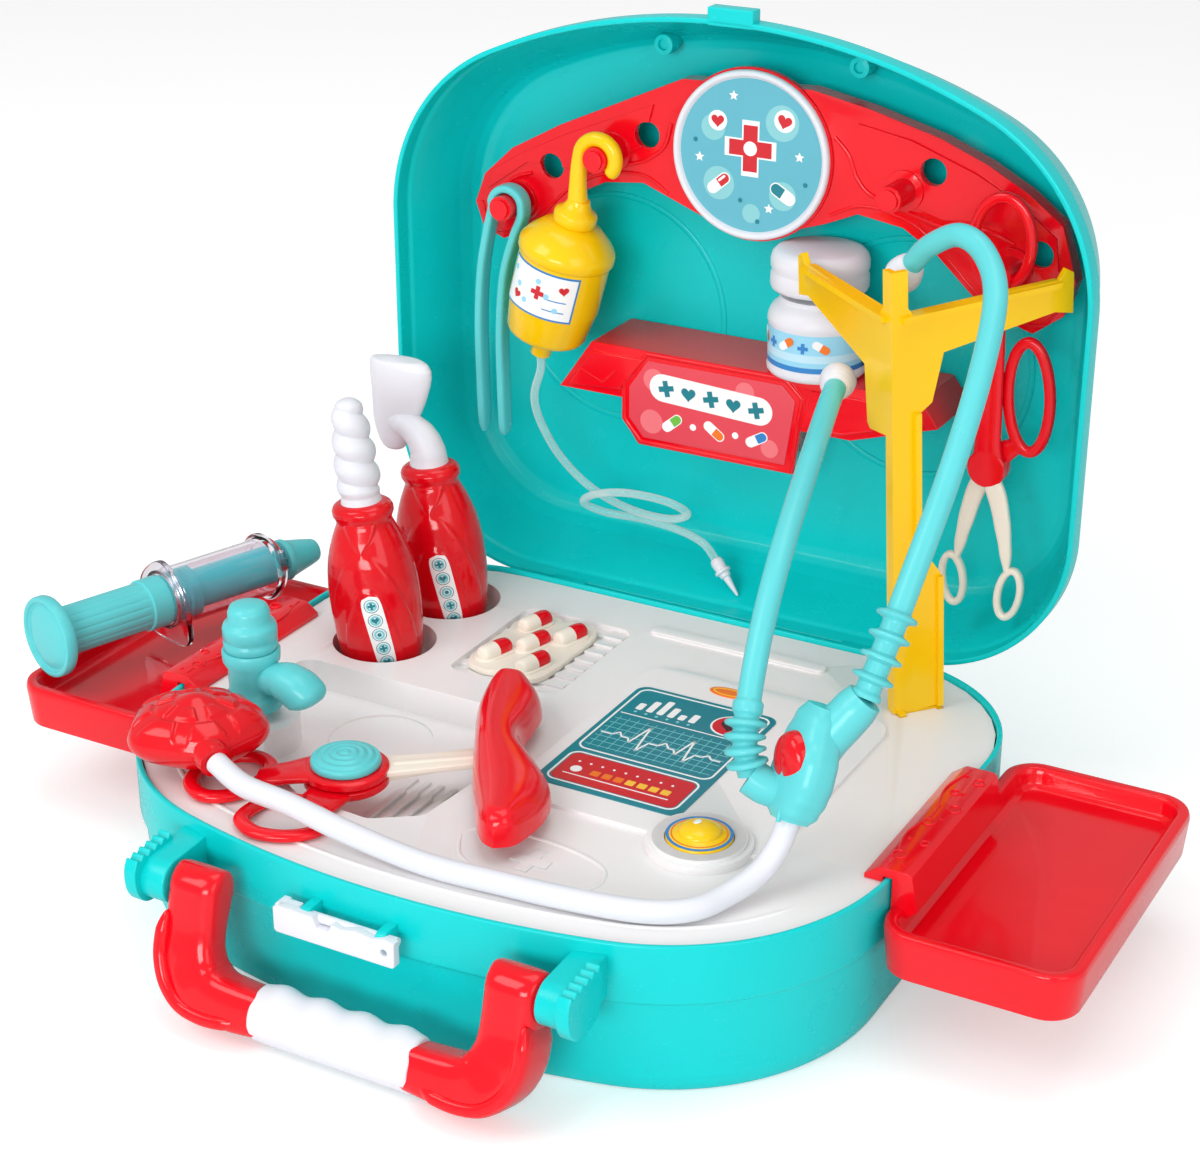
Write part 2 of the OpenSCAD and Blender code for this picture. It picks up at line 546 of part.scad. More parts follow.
// Hanger rack with its badge and four pegs
badge_x = 3;
rack_out = [[-30, 284], [-59, 271], [-88, 258], [-112, 245], [-126, 232], [-131, 219], [-127, 208],
  [-117, 204],
  [-100, 212], [-82, 228], [-66, 236], [-48, 238], [-32, 232], [0, 220], [36, 232], [50, 238], [70,
    235], [85, 226],
  [107, 206], [127, 200], [139, 209], [143, 223], [136, 245], [121, 256], [104, 265], [84, 273], [54,
    281], [28, 286]];
module rack2d(o) translate([0,
  rack_up]) offset(delta = -o) polygon([for (i = [len(rack_out) - 1 : -1 : 0]) rack_out[i]]);
pegs = [[-peg_in[0] + 3, badge_z + peg_in[1] - 2], [-peg_out[0] + 4, badge_z + peg_out[1] - 5],
  [peg_in[0] + 5, badge_z + peg_in[1] - 1], [peg_out[0] + 5, badge_z + peg_out[1] - 2]];
rack_holes = [[-46, badge_z + 2], [-92, badge_z - 17], [82, badge_z + 3], [128, badge_z - 24]];
lid_screw_at = [[-80, badge_z - 20.7], [96, badge_z - 20.7], [badge_x, badge_z + 15.3], [-58,
  160 + shelf_up],
  [66, 160 + shelf_up]];
module peg(p) {
  rod_y(peg_r, peg_y + 1.4, rack_y + 2, p[0], p[1]);
  rod_y(peg_r - 1.2, peg_y, peg_y + 2, p[0], p[1]);
}
module hanger_rack() color([0.86, 0.02, 0.12]) difference() {
  union() {
    slab(rack_y, 2.4) rack2d(0);
    slab(rack_y + 2, rack_deep - 14.5) difference() {
      rack2d(0);
      rack2d(2);
    }
    // raised field on each wing, and the seat of the badge
    slab(rack_y - 1.2, 1.4) translate([0, rack_up]) polygon([[49, 275], [55, 255], [63, 248], [87,
      241], [110, 243], [136, 227],
      [134, 240], [118, 252], [100, 261], [72, 271]]);
    slab(rack_y - 1.2, 1.4) translate([0, rack_up]) polygon([[-43, 272], [-48, 254], [-62, 246], [-84,
      240], [-104, 240], [-124, 226],
      [-121, 235], [-106, 244], [-86, 254], [-60, 265]]);
    rod_y(badge_r + 1, rack_y - 1.6, rack_y + 1, badge_x, badge_z);
    for (p = pegs) {
      peg(p);
      rod_y(peg_r + 3, rack_y - 2.2, rack_y, p[0], p[1]);
    }
    for (i = [0 : 2]) rod_y(3.4, rack_y + 1, lid_in - 0.05, lid_screw_at[i][0], lid_screw_at[i][1]);
  }
  for (i = [0 : 2]) rod_y(1.3, lid_in - 9, lid_in + 1, lid_screw_at[i][0], lid_screw_at[i][1]);
  // round holes beside the pegs
  for (p = rack_holes) rod_y(5.6, rack_y - 3, rack_y + 4, p[0], p[1]);
}
module rack_badge() color([0.92, 0.9, 0.93]) translate([badge_x, rack_y - 1.6, badge_z]) rotate([90, 0, 0])
  rotate_extrude($fn = 64) polygon([[0, 0], [badge_r, 0], [badge_r, 2.2], [badge_r - 1, 3],
    [badge_r - 2.6, 2.6],
    [badge_r - 3, 1.4], [0, 1.4]]);

// Medicine shelf with its plaque
shelf_y = lid_in - shelf_deep;
shelf_out = [[-80, 147], [-64, 170], [88, 170], [96, 159], [58, 147], [30, 147], [24, 127], [-41, 127],
  [-49, 138],
  [-49, 147]];
module shelf2d(o) translate([0, shelf_up]) offset(delta = -o) polygon(shelf_out);
module medicine_shelf() color([0.86, 0.02, 0.12]) difference() {
  union() {
    slab(shelf_y, 2.4) shelf2d(0);
    slab(shelf_y + 2, shelf_deep - 2.8) difference() {
      shelf2d(0);
      shelf2d(2);
    }
    slab(shelf_y - 1.2, 1.4) translate([0, shelf_up]) polygon([[-75, 149], [-63, 166], [-38, 166],
      [-50, 151]]);
    slab(shelf_y - 1.2, 1.4) translate([0, shelf_up]) polygon([[36, 149], [40, 166], [84, 166], [90,
      160], [57, 150]]);
    for (i = [3, 4]) rod_y(3.4, shelf_y + 1, lid_in - 0.05, lid_screw_at[i][0], lid_screw_at[i][1]);
  }
  for (i = [3, 4]) rod_y(1.3, lid_in - 9, lid_in + 1, lid_screw_at[i][0], lid_screw_at[i][1]);
}
module shelf_plaque() color([0.9, 0.25, 0.3]) slab(shelf_y - 1, 1) translate([0,
  shelf_up]) polygon([[-36, 166], [27, 166], [33, 160],
  [29, 131], [-38, 131], [-45, 139], [-45, 153]]);
module lid_screws() color([0.6, 0.6, 0.62]) for (p = lid_screw_at) {
  rod_y(1.3, lid_in - 8, lid_y + lid_depth + 0.5, p[0], p[1]);
  rod_y(3, lid_y + lid_depth, lid_y + lid_depth + 1.4, p[0], p[1]);
}

// Stethoscope: yoke, two ear tubes with their bellows, ear tips, hose and chestpiece
yoke_at = [124.5, -41, 103 + deck_up];
function way(a, b, k) = [for (i = [0 : k]) a + (b - a) * i / k];
left_tube = spline(set_out([[107.2, -49, 97], [103.6, -46.5, 108], [101, -38, 122], [98, -22, 143],
  [94, 2, 163], [86, 40, 179],
  [77, 75, 187], [72.5, 92, 189]]), 4);
right_tube = spline(set_out([[140, -28, 126], [143, -18, 143], [145.5, 0, 167], [147, 24, 194], [146,
  50, 221], [141, 74, 242],
  [130, 90, 252], [117, 98, 255], [103, 105, 247], [95, 109, 238]]), 4);
module disc_on(p, i, r, h) {
  t = unit(p[i + 1] - p[i]);
  translate(p[i]) rotate([0, acos(t[2]), atan2(t[1], t[0])]) translate([0, 0, -h / 2]) cylinder(r = r,
    h = h, $fn = 24);
}
tube_teal = [0.31, 0.82, 0.83];
module steth_yoke() color(tube_teal) {
  // the flat body with its two branches
  along(spline([yoke_at + [-1.5, -9, -19], yoke_at + [-0.6, -4, -9], yoke_at + [0.8, 2, 5],
    yoke_at + [2.5, 8, 19]], 3),
    [6.8, 9.6, 11.8, 13, 13.2, 12.8, 12, 10.6, 9, 7], [6.4, 7.8, 8.4, 8.8, 8.8, 8.6, 8, 7.4, 7, 6], 16,
      [0.55, 0.83, 0], 0.6);
  along(spline([yoke_at + [-1, -2, -8], yoke_at + [-7, -5, -10], yoke_at + [-12, -7, -9], left_tube[0]], 2),
    [6, 7, 7, 7, 6.8, 6.4, 6], [6, 7, 7, 7, 6.8, 6.4, 6], 14, [0.55, 0.83, 0]);
  along(spline([yoke_at + [1, 1, 0], yoke_at + [5, 5, 8], yoke_at + [10, 9, 15], right_tube[0]], 2),
    [7, 8, 8.4, 8, 7.6, 7, 6.4], [7, 8, 8.4, 8, 7.6, 7, 6.4], 14, [0.55, 0.83, 0]);
}
module yoke_button() color([0.82, 0.02, 0.1]) translate(yoke_at + [-3, -4.6, 0]) rotate([0, 0, -33])
  rotate([90, 0, 0]) difference() {
    scale([0.74, 1, 0.4]) sphere(13, $fn = 32);
    translate([-20, -20, -30]) cube([40, 40, 27]);
    rotate([0, 0, 24]) translate([-0.8, -15, 3.8]) cube([1.6, 30, 4]);
  }
module ear_tube(p, discs, gap) {
  n = len(p);
  along(p, fill(4.7, n), fill(4.3, n), 12, [0.3, 1, 0]);
  q = way(p[0], p[0] + unit(p[4] - p[0]) * gap * (discs + 1), discs + 1);
  for (i = [1 : discs]) disc_on(q, i, 7.6, 2.4);
}
module left_ear_tube() color(tube_teal) {
  ear_tube(left_tube, 4, 4);
}
module right_ear_tube() color(tube_teal) ear_tube(right_tube, 5, 6.6);
module ear_tip(p) {
  n = len(p);
  t = unit(p[n - 1] - p[n - 2]);
  along([for (d = [0, 1, 3, 6, 9, 12, 14, 15]) p[n - 1] + t * d], [4.6, 5.6, 6.4, 7, 7.2, 6, 4, 1.5],
    [4.6, 5.6, 6.4, 7, 7.2, 6, 4, 1.5], 14, [0.3, 1, 0]);
}
module left_ear_tip() color([0.93, 0.92, 0.95]) ear_tip(left_tube);
module right_ear_tip() color([0.93, 0.92, 0.95]) ear_tip(right_tube);
hose_pts = spline(set_out([[-87, -100, 75], [-71, -105, 72], [-50, -107, 71.2], [-22, -109, 68], [10,
  -109, 64.6],
  [40, -107, 64.5], [68, -104, 64.5], [92, -99, 64.6], [106, -90, 64.6], [113, -77, 65.6],
  [119, -64, 69.5], [121.8, -55.6, 76], [123, -50, 84]]), 4);
module steth_hose() color([0.93, 0.92, 0.95]) {
  n = len(hose_pts);
  along(hose_pts, fill(hose_d / 2, n), fill(hose_d / 2, n), 12);
}
chest_at = [-108, -84, 76 + deck_up];
module chestpiece() color([0.8, 0, 0.08]) {
  translate(chest_at) rotate([0, 0, 35]) intersection() {
    scale([1, 0.84, 0.46]) sphere(27, $fn = 36);
    translate([-40, -40, -10.5]) cube([80, 80, 40]);
  }
  // raised lobes and the socket of the hose
  for (a = [20 : 60 : 320]) translate(chest_at + [17 * cos(a + 35), 15 * sin(a + 35), 1]) scale([1, 1,
    0.8]) sphere(8.6, $fn = 20);
  translate(chest_at + [0, 0, 6]) scale([1, 1, 0.8]) sphere(12, $fn = 24);
  along([chest_at + [9, -9, 1], chest_at + [15, -12.5, 0], hose_pts[0] - [0.05, 0, 0]], [8, 7.4, 6.4],
    [8, 7.4, 6.4], 14);
}

// Drip bottle hung on the left inner peg, its hook cap, tube and needle
iv_at = [-81, peg_y + 4.8, 194 + rack_up];
iv_lean = 15.5;
module at_iv() translate(iv_at) rotate([0, iv_lean, 0]) children();
module iv_bottle() color([1, 0.78, 0]) at_iv() rotate_extrude($fn = 48) polygon([[0, -36], [4.6, -36],
  [4.6, -30],
  [9, -28], [16, -26], [17.4, -24], [iv_r - 1.6, -11], [iv_r - 1.2, -9], [iv_r - 1.2, 12], [iv_r,
    13.4], [iv_r, 17],
  [iv_r - 2.6, 21], [13, 26], [8.4, 28], [0, 28]]);
module iv_hook_cap() color([1, 0.76, 0]) {
  at_iv() rotate_extrude($fn = 32) polygon([[0, 28], [9.4, 28], [9.4, 33], [6, 35], [5, 39], [0, 39]]);
  r = peg_r + rest_gap + 2.8;
  along(concat([iv_at + 36 * [sin(iv_lean), 0, cos(iv_lean)], [pegs[0][0] - r - 0.6, iv_at[1],
    pegs[0][1] - 9]],
    [for (g = [175 : -15 : -50]) [pegs[0][0] + r * cos(g), iv_at[1], pegs[0][1] + r * sin(g)]]),
    concat([4.6, 3.8], fill(2.8, 16)), concat([4.6, 3.8], fill(3.3, 16)), 12, [0, -1, 0], 1);
}
drip_pts = spline(concat([iv_at - 36 * [sin(iv_lean), 0, cos(iv_lean)]], [for (q = [[-90.6, 145.9,
  152], [-94, 146, 140],
  [-92, 147, 128], [-84, 149, 113], [-72, 151, 101], [-58, 152, 94], [-42, 152, 91], [-27, 151, 92],
    [-19, 149, 97],
  [-28, 146, 102], [-46, 144, 103], [-62, 145, 99], [-71, 149, 92], [-64, 156, 86], [-46, 159, 85],
    [-28, 158, 84],
  [-14, 155, 81.6], [-7, 153, 76.2]]) q + [0, lid_back, rack_up]]), 3);
module drip_tube() color([0.85, 0.92, 0.93]) along(drip_pts, fill(drip_d / 2, len(drip_pts)),
  fill(drip_d / 2, len(drip_pts)), 8);
module drip_needle() color([0.95, 0.95, 0.96]) {
  e = drip_pts[len(drip_pts) - 1];
  t = unit(e - drip_pts[len(drip_pts) - 2]);
  along([for (d = [0, 2, 6, 9, 9.6, 14, 19]) e + t * d], [2.6, 3, 2.6, 2.4, 1.6, 1.2, 0.5], [2.6, 3,
    2.6, 2.4, 1.6, 1.2, 0.5], 12);
}

// Tweezers on the left outer peg
module tweezers() color(tube_teal) slab(peg_y + 5, 8) translate(pegs[1]) difference() {
  polygon(concat([for (i = [0 : 22]) 9.4 * [cos(i * 10 - 20), sin(i * 10 - 20)]],
    [[-17, -34], [-17.6, -60], [-16, -107], [-12.4, -106], [-12.6, -60], [-11, -30], [-5.4, -4], [-2,
      -2], [2, -2],
    [4.6, -5], [-1, -22], [-6.4, -54], [-5.4, -106], [-1.6, -106], [-2.6, -60], [1.6, -26], [6, -10]]));
  circle(peg_r + rest_gap, $fn = 48);
}

// Pill bottle on the shelf
pill_at = [36, lid_in - pill_r - 3.1, 170 + shelf_up + rest_gap];
module pill_bottle() color([0.93, 0.94, 0.97]) translate(pill_at) rotate_extrude($fn = 48) polygon([[0, 0],
  [pill_r - 2, 0], [pill_r, 2], [pill_r, pill_h - 27], [pill_r - 0.8, pill_h - 24], [pill_r - 5,
    pill_h - 20],
  [pill_r - 5, pill_h - 18], [pill_r - 5.6, pill_h - 17.4], [pill_r - 5.6, pill_h - 4], [0, pill_h - 4]]);
module pill_bottle_cap() color([0.93, 0.94, 0.97]) translate(pill_at) rotate_extrude($fn = 48) polygon([
  [0, pill_h - 3.8], [pill_r - 5.5, pill_h - 3.8], [pill_r - 5.5, pill_h - 17.2], [pill_r - 1.4,
    pill_h - 17.2],
  [pill_r - 0.6, pill_h - 16.6], [pill_r - 0.6, pill_h - 2], [pill_r - 2.6, pill_h], [0, pill_h]]);

// Ring forceps on the right outer peg, crossed at a pivot
fc = [117, peg_y + 7, 146 + rack_up];
hung_ring = [pegs[3][0], pegs[3][1] + peg_r + 0.2 - 15.6];
module oval(c, rx, rz, t, a = 0) translate(c) rotate(a) difference() {
  scale([rx, rz]) circle(1, $fn = 40);
  scale([rx - t, rz - t]) circle(1, $fn = 40);
}
module jaw() {
  polygon([[-5, 4], [-9, -12], [-13, -36], [-12, -42], [-7, -40], [-4, -14], [5, 0]]);
  oval([-13, -53], 6, 12, 2.6, -8);
}
module forceps_left() color([0.88, 0.02, 0.12]) slab(fc[1] - 4.1, 4) {
  difference() {
    union() {
      translate(hung_ring) scale([14, 20]) circle(1, $fn = 48);
      translate([fc[0], fc[2]]) polygon([[-11, 54], [-8, 20], [-7, 0], [7, 0], [4, 20], [3, 54]]);
    }
    translate(hung_ring) scale([9.6, 15.6]) circle(1, $fn = 48);
  }
  translate([fc[0], fc[2]]) circle(8, $fn = 32);
  translate([fc[0], fc[2]]) mirror([1, 0]) jaw();
}
module forceps_right() color([0.88, 0.02, 0.12]) difference() {
  slab(fc[1], 4) {
    oval([fc[0] + 14, fc[2] + 31], 11, 25, 4.6, 4);
    translate([fc[0], fc[2]]) polygon([[5, 20], [-7, 4], [-7, -2], [7, -2], [16, 8], [9, 14]]);
    translate([fc[0], fc[2]]) circle(8, $fn = 32);
    translate([fc[0], fc[2]]) jaw();
  }
  rod_y(2.5 + running, fc[1] - 1, fc[1] + 6, fc[0], fc[2]);
}
module forceps_pivot() color([0.93, 0.9, 0.86]) {
  rod_y(2.5, fc[1] - 0.1, fc[1] + 4.4, fc[0], fc[2]);
  rod_y(4, fc[1] + 4.1, fc[1] + 5.4, fc[0], fc[2]);
}

// Drill and mirror, standing in the two cups
drill_tilt = [0.8, -6.2];
mirror_tilt = [0.6, -6.4];
module at_cup(c, tilt) translate([c[0], c[1], deck_z - cup_deep + rest_gap]) translate([0, 0, 1.8])
  rotate([tilt[0], tilt[1], 0]) children();
module tool_body(k) {
  loft([for (r = [[14.6, 0], [16.6, 1.4], [18.4, 10], [20, 22], [20.8, 34], [20.4, 46], [18.2, 57],
    [14.8, 66],
    [12, 71], [12.4, 73.4], [11.2, 75.6], [9, 76]]) [for (i = [0 : 23]) [r[0] * cos(15 * i),
      r[0] * k * sin(15 * i), r[1]]]]);
}
module drill_handle() color([0.8, 0, 0.08]) at_cup(cup_front, drill_tilt) {
  tool_body(0.92);
  // raised leaves over the shoulder
  for (g = [-150, -90, -30, 30, 90, 150]) along(spline([[20 * cos(g), 18.6 * sin(g), 34],
    [19.4 * cos(g), 18 * sin(g), 46],
    [16.4 * cos(g), 15.2 * sin(g), 58], [11.6 * cos(g), 10.6 * sin(g), 69]], 2), [1, 3.2, 4.2, 4.4, 4,
      3, 1.6], [1, 2, 2.4, 2.6, 2.4, 2, 1.2], 8);
}
module drill_tip() color([0.95, 0.94, 0.9]) at_cup(cup_front, drill_tilt)
  rotate_extrude($fn = 40) polygon([[0, 76], [8.4, 76], [8, 83], [9.8, 89], [8.2, 92.4], [8, 93.4],
    [9.4, 98.6],
    [7.6, 102], [7.4, 103], [8.6, 107.4], [6.6, 110.6], [6.4, 111.4], [6.8, 115], [5, 119.4], [0, 120.6]]);
module mirror_handle() color([0.8, 0, 0.08]) at_cup(cup_back, mirror_tilt) {
  tool_body(0.92);
  for (g = [-150, -90, -30, 30, 90, 150]) along(spline([[20 * cos(g), 18.6 * sin(g), 34],
    [19.4 * cos(g), 18 * sin(g), 46],
    [16.4 * cos(g), 15.2 * sin(g), 58], [11.6 * cos(g), 10.6 * sin(g), 69]], 2), [1, 3.2, 4.2, 4.4, 4,
      3, 1.6], [1, 2, 2.4, 2.6, 2.4, 2, 1.2], 8);
}
module mirror_head() color([0.95, 0.94, 0.9]) at_cup(cup_back, mirror_tilt) {
  along(spline([[0, 0, 76], [0, 0, 82], [-2.5, 0, 88], [-8, 0, 92.4], [-16, 0, 94.6]], 3),
    [8.4, 8, 7.6, 7.2, 7, 6.8, 6.6, 6.4, 6.2, 6, 5.6, 5, 3.6], [8.4, 8, 7.6, 7.2, 7, 6.8, 6.6, 6.2,
      5.8, 5.4, 5, 4.4, 3.4],
    14, [0, -1, 0]);
  along(spline([[-19, 3, 80], [-17.6, 3, 92], [-13, 3, 106], [-10, 3, 118], [-9.4, 3, 121.5]], 3),
    [4, 6.6, 8.6, 10.4, 12.2, 13.8, 15.2, 16, 15.8, 14, 11.6, 7.6, 3], [3.4, 4.6, 5.2, 5.6, 6, 6.2,
      6.2, 6, 5.6, 5, 4.4, 3.4, 2],
    16, [0, -1, 0]);
}

// Pill board and pills
board_z = deck_z - pill_deep + 1.2 + rest_gap;
module board2d() difference() {
  pad2d([-68, 38], [-30, 97], 5);
  for (y = [56, 78]) for (x = [-69.6, -28.4]) translate([x, y]) circle(3.4, $fn = 24);
}
pill_pts = [[-58, 89, 20], [-41, 87, 10], [-58, 68, 40], [-43, 66, 0], [-57, 48, 15], [-40, 47, 30]];
module pill_board() color([0.93, 0.9, 0.84]) {
  translate([0, 0, board_z]) linear_extrude(2.6) board2d();
  for (p = pill_pts) translate([p[0], p[1], board_z + 2.5]) rotate(p[2]) linear_extrude(1)
    pad2d([-8.6, -5], [8.6, 5], 4.8);
}
module pills() color([0.85, 0.03, 0.1]) for (p = pill_pts) translate([p[0], p[1],
  board_z + 5]) rotate([0, 90, p[2]])
  intersection() {
    rotate_extrude($fn = 20) polygon([[0, -7.4], [2, -7], [3.4, -5.4], [3.8, -3.8], [3.8, 3.8], [3.4,
      5.4], [2, 7], [0, 7.4]]);
    translate([-10, -10, -10]) cube([11.5, 20, 20]);
  }

// Scissors lying over the basin, crossed at their hub
hub = [-52, -67];
flat_z = deck_z + rest_gap;
function closed(p, k) = let (n = len(p)) [for (i = [0 : n - 1]) for (j = [0 : k - 1])
  let (a = p[(i + n - 1) % n], b = p[i], c = p[(i + 1) % n], d = p[(i + 2) % n], t = j / k)
  0.5 * (2 * b + (c - a) * t + (2 * a - 5 * b + 4 * c - d) * t * t + (3 * b - a - 3 * c + d) * t * t * t)];
upper_loop = closed([[-75, -91], [-80, -103], [-91, -108], [-103, -101], [-107, -87], [-102, -74],
  [-90, -68],
  [-78, -74]], 3);
lower_loop = closed([[-54, -87], [-67, -91], [-72, -102], [-70, -114], [-58, -120], [-44, -116], [-36,
  -106],
  [-40, -93]], 3);
module ring2d(p, t) difference() {
  polygon(p);
  offset(delta = -t) polygon(p);
}
module blade2d(a) rotate(a) polygon([[8, -7], [60, -4.4], [68, 0.5], [66, 4.6], [58, 5.6], [8, 7]]);
module scissor_half_low() color([0.86, 0.02, 0.12]) {
  translate([0, 0, flat_z]) linear_extrude(3.8) ring2d(lower_loop, 6.2);
  translate([0, 0, flat_z]) linear_extrude(3.8) {
    translate(hub) circle(16.4, $fn = 48);
    polygon([[-64, -74], [-60, -90], [-42, -92], [-38, -74]]);
  }
  rod(4, 9.6, [hub[0], hub[1], flat_z + 3.4]);
}
module scissor_half_top() color([0.86, 0.02, 0.12]) {
  difference() {
    union() {
      translate([0, 0, flat_z + 3.9]) linear_extrude(3.8) {
        translate(hub) circle(16.4, $fn = 48);
        polygon([[-58, -54], [-76, -72], [-78, -88], [-70, -90], [-46, -78]]);
      }
      translate([0, 0, flat_z]) linear_extrude(4.6) ring2d(upper_loop, 6.2);
    }
    rod(4 + running, 20, [hub[0], hub[1], flat_z]);
    // seat of the lower half's hub
    difference() {
      rod(17, 3.9 + 1, [hub[0], hub[1], flat_z - 1]);
      translate([-130, -120, 0]) cube([40, 90, 100]);
    }
  }
}
module scissor_blades_low() color([0.95, 0.93, 0.9]) translate([hub[0], hub[1],
  flat_z + 1.3]) difference() {
  linear_extrude(2.4) blade2d(46);
  rod(16.4, 10, [0, 0, -2]);
}
module scissor_blades_top() color([0.95, 0.93, 0.9]) translate([hub[0], hub[1], flat_z + 4]) difference() {
  linear_extrude(2.4) blade2d(38);
  rod(16.4, 10, [0, 0, -2]);
}
module scissor_cap() color([0.2, 0.78, 0.8]) translate([hub[0], hub[1],
  flat_z + 7.75]) rotate_extrude($fn = 48)
  polygon([[4, 0], [13.4, 0], [13.4, 2.4], [11.6, 4.2], [4, 5.6], [0, 5.7], [0, 5.25], [4, 5.25]]);

// Kidney dish, laid upside down
dish_out = closed([[-34, 13], [-21, 15], [-7, 3], [-3, -14], [2, -30], [17, -42], [31, -56], [34, -76],
  [26, -91],
  [12, -78], [-3, -56], [-17, -32], [-28, -12]], 3);
dish_h = 13;
function inset(p, d) = let (n = len(p)) [for (i = [n - 1 : -1 : 0])
  let (t = p[(i + 1) % n] - p[(i + n - 1) % n]) p[i] + d / norm(t) * [t[1], -t[0]]];
module kidney_dish() color([0.88, 0.02, 0.12]) loft([for (r = [[7, dish_h - 2.2], [4.6, dish_h - 4], [3, 0],
  [0, 0], [0.2, 1], [1.6, dish_h - 3], [5, dish_h]])
  [for (p = inset(dish_out, r[0])) [p[0], p[1], flat_z + 6.6 + r[1]]]]);

// Syringe on the left tray: barrel, plunger and nozzle along one axis
syr_a = [-221, -41, tray_z + 17.6];
syr_b = [-178, 92, tray_z + 15.8];
syr_len = norm(syr_b - syr_a);
module at_syr() translate(syr_a) rotate([0, acos((syr_b - syr_a)[2] / syr_len),
  atan2(syr_b[1] - syr_a[1], syr_b[0] - syr_a[0])])
  children();
flange_s = 58;
barrel_end = flange_s + barrel_len - 18;
module syringe_barrel() color([0.85, 0.82, 0.92]) at_syr() difference() {
  union() {
    rod(barrel_r, barrel_end - flange_s, [0, 0, flange_s]);
    // finger flange, a rounded three-cornered plate
    translate([0, 0, flange_s]) linear_extrude(2.6) rotate(180) polygon(closed([[17.6, 0], [9, 14],
      [-3, 18.6], [-16, 17.4],
      [-18.4, 0], [-16, -17.4], [-3, -18.6], [9, -14]], 3));
    rod(barrel_r + 2.2, 3, [0, 0, barrel_end - 6]);
    rod(6.2, 5, [0, 0, barrel_end - 0.5]);
  }
  rod(barrel_r - 1.5, barrel_end - flange_s - 2, [0, 0, flange_s - 0.5]);
  rod(3, 20, [0, 0, barrel_end - 6]);
}
module syringe_plunger() color([0.2, 0.75, 0.75]) at_syr() rotate_extrude($fn = 48) polygon([[0, 0],
  [thumb_r - 1, 0],
  [thumb_r, 1.2], [thumb_r, 4.6], [thumb_r - 1.2, 6], [barrel_r - 2.6, 6], [barrel_r - 2.6, flange_s + 8],
  [barrel_r - 1.5 - running, flange_s + 9], [barrel_r - 1.5 - running, flange_s + 14], [0, flange_s + 14]]);
module syringe_nozzle() color([0.2, 0.75, 0.75]) at_syr() rotate_extrude($fn = 40) polygon([[0,
  barrel_end + 4.5],
  [9.4, barrel_end + 4.5], [9.4, barrel_end + 7], [8, barrel_end + 11], [6.4, barrel_end + 18], [5.4,
    syr_len - 1.4],
  [4.4, syr_len], [0, syr_len]]);

base_shell();
deck_panel();
deck_screws();
monitor_label();
press_button();
button_spring();
handle_frame();
handle_grip();
front_latch();
right_tray();
left_tray();
tap_body();
tap_knob();
iv_stand();
lid_shell();
hanger_rack();
rack_badge();
medicine_shelf();
shelf_plaque();
lid_screws();
steth_yoke();
yoke_button();
left_ear_tube();
right_ear_tube();
left_ear_tip();
right_ear_tip();
steth_hose();
chestpiece();
iv_bottle();
iv_hook_cap();
drip_tube();
drip_needle();
tweezers();
pill_bottle();
pill_bottle_cap();
forceps_left();
forceps_right();
forceps_pivot();
drill_handle();
drill_tip();
mirror_handle();
mirror_head();
pill_board();
pills();
scissor_half_low();
scissor_half_top();
scissor_blades_low();
scissor_blades_top();
scissor_cap();
kidney_dish();
syringe_barrel();
syringe_plunger();
syringe_nozzle();
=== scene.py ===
"""Looks of the toy doctor case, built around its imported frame.

Lengths are worked out in millimetres in the part's own frame (X right, Y to the hinge, Z up,
origin under the base's middle) and turned into metres as each mesh is made.
"""

import logging
import math
from dataclasses import dataclass
from enum import Enum
from typing import Sequence

import bmesh
import bpy
import numpy as np
from mathutils import Matrix, Vector


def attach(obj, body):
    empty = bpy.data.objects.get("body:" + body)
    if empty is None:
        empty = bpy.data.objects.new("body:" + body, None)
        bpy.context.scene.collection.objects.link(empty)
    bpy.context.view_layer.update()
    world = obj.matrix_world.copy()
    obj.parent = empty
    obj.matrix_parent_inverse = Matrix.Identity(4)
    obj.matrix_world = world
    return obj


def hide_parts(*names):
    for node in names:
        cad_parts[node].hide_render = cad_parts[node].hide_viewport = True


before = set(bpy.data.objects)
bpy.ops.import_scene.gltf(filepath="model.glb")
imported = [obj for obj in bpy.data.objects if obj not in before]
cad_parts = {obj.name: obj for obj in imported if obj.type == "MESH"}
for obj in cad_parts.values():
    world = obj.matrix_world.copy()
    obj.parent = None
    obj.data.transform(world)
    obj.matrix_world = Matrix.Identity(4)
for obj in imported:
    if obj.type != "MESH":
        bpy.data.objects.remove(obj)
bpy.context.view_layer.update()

LOG = logging.getLogger("doctor_case")
MM = 0.001
Array = np.ndarray
Shape = tuple[Array, list]


# ---------------------------------------------------------------- curves and surfaces


def vec(*values: float) -> Array:
    """Return the values as one float vector."""
    return np.array(values, float)


def unit(vector: Array) -> Array:
    """Return the vector, or each row of vectors, scaled to length one."""
    return vector / np.linalg.norm(vector, axis=-1, keepdims=True)


def spline(points: Sequence, steps: int, closed: bool = False) -> Array:
    """Run a smooth curve through points.

    Formula: the uniform Catmull-Rom cubic between each two points, from the four points round it.

    Args:
        points: Points that the curve passes through.
        steps: Steps between each two of them.
        closed: Whether the curve runs on from its last point to its first.

    Returns:
        The curve's points, one row each. A closed curve doesn't repeat its first.
    """
    p = np.asarray(points, float)
    n = len(p) if closed else len(p) - 1
    i = np.repeat(np.arange(n), steps)
    t = np.tile(np.arange(steps) / steps, n)[:, None]
    a, b, c, d = (p[k % n if closed else np.clip(k, 0, n)] for k in (i - 1, i, i + 1, i + 2))
    body = 0.5 * (2 * b + (c - a) * t + (2 * a - 5 * b + 4 * c - d) * t**2 + (3 * b - a - 3 * c + d) * t**3)
    return body if closed else np.vstack([body, p[-1:]])


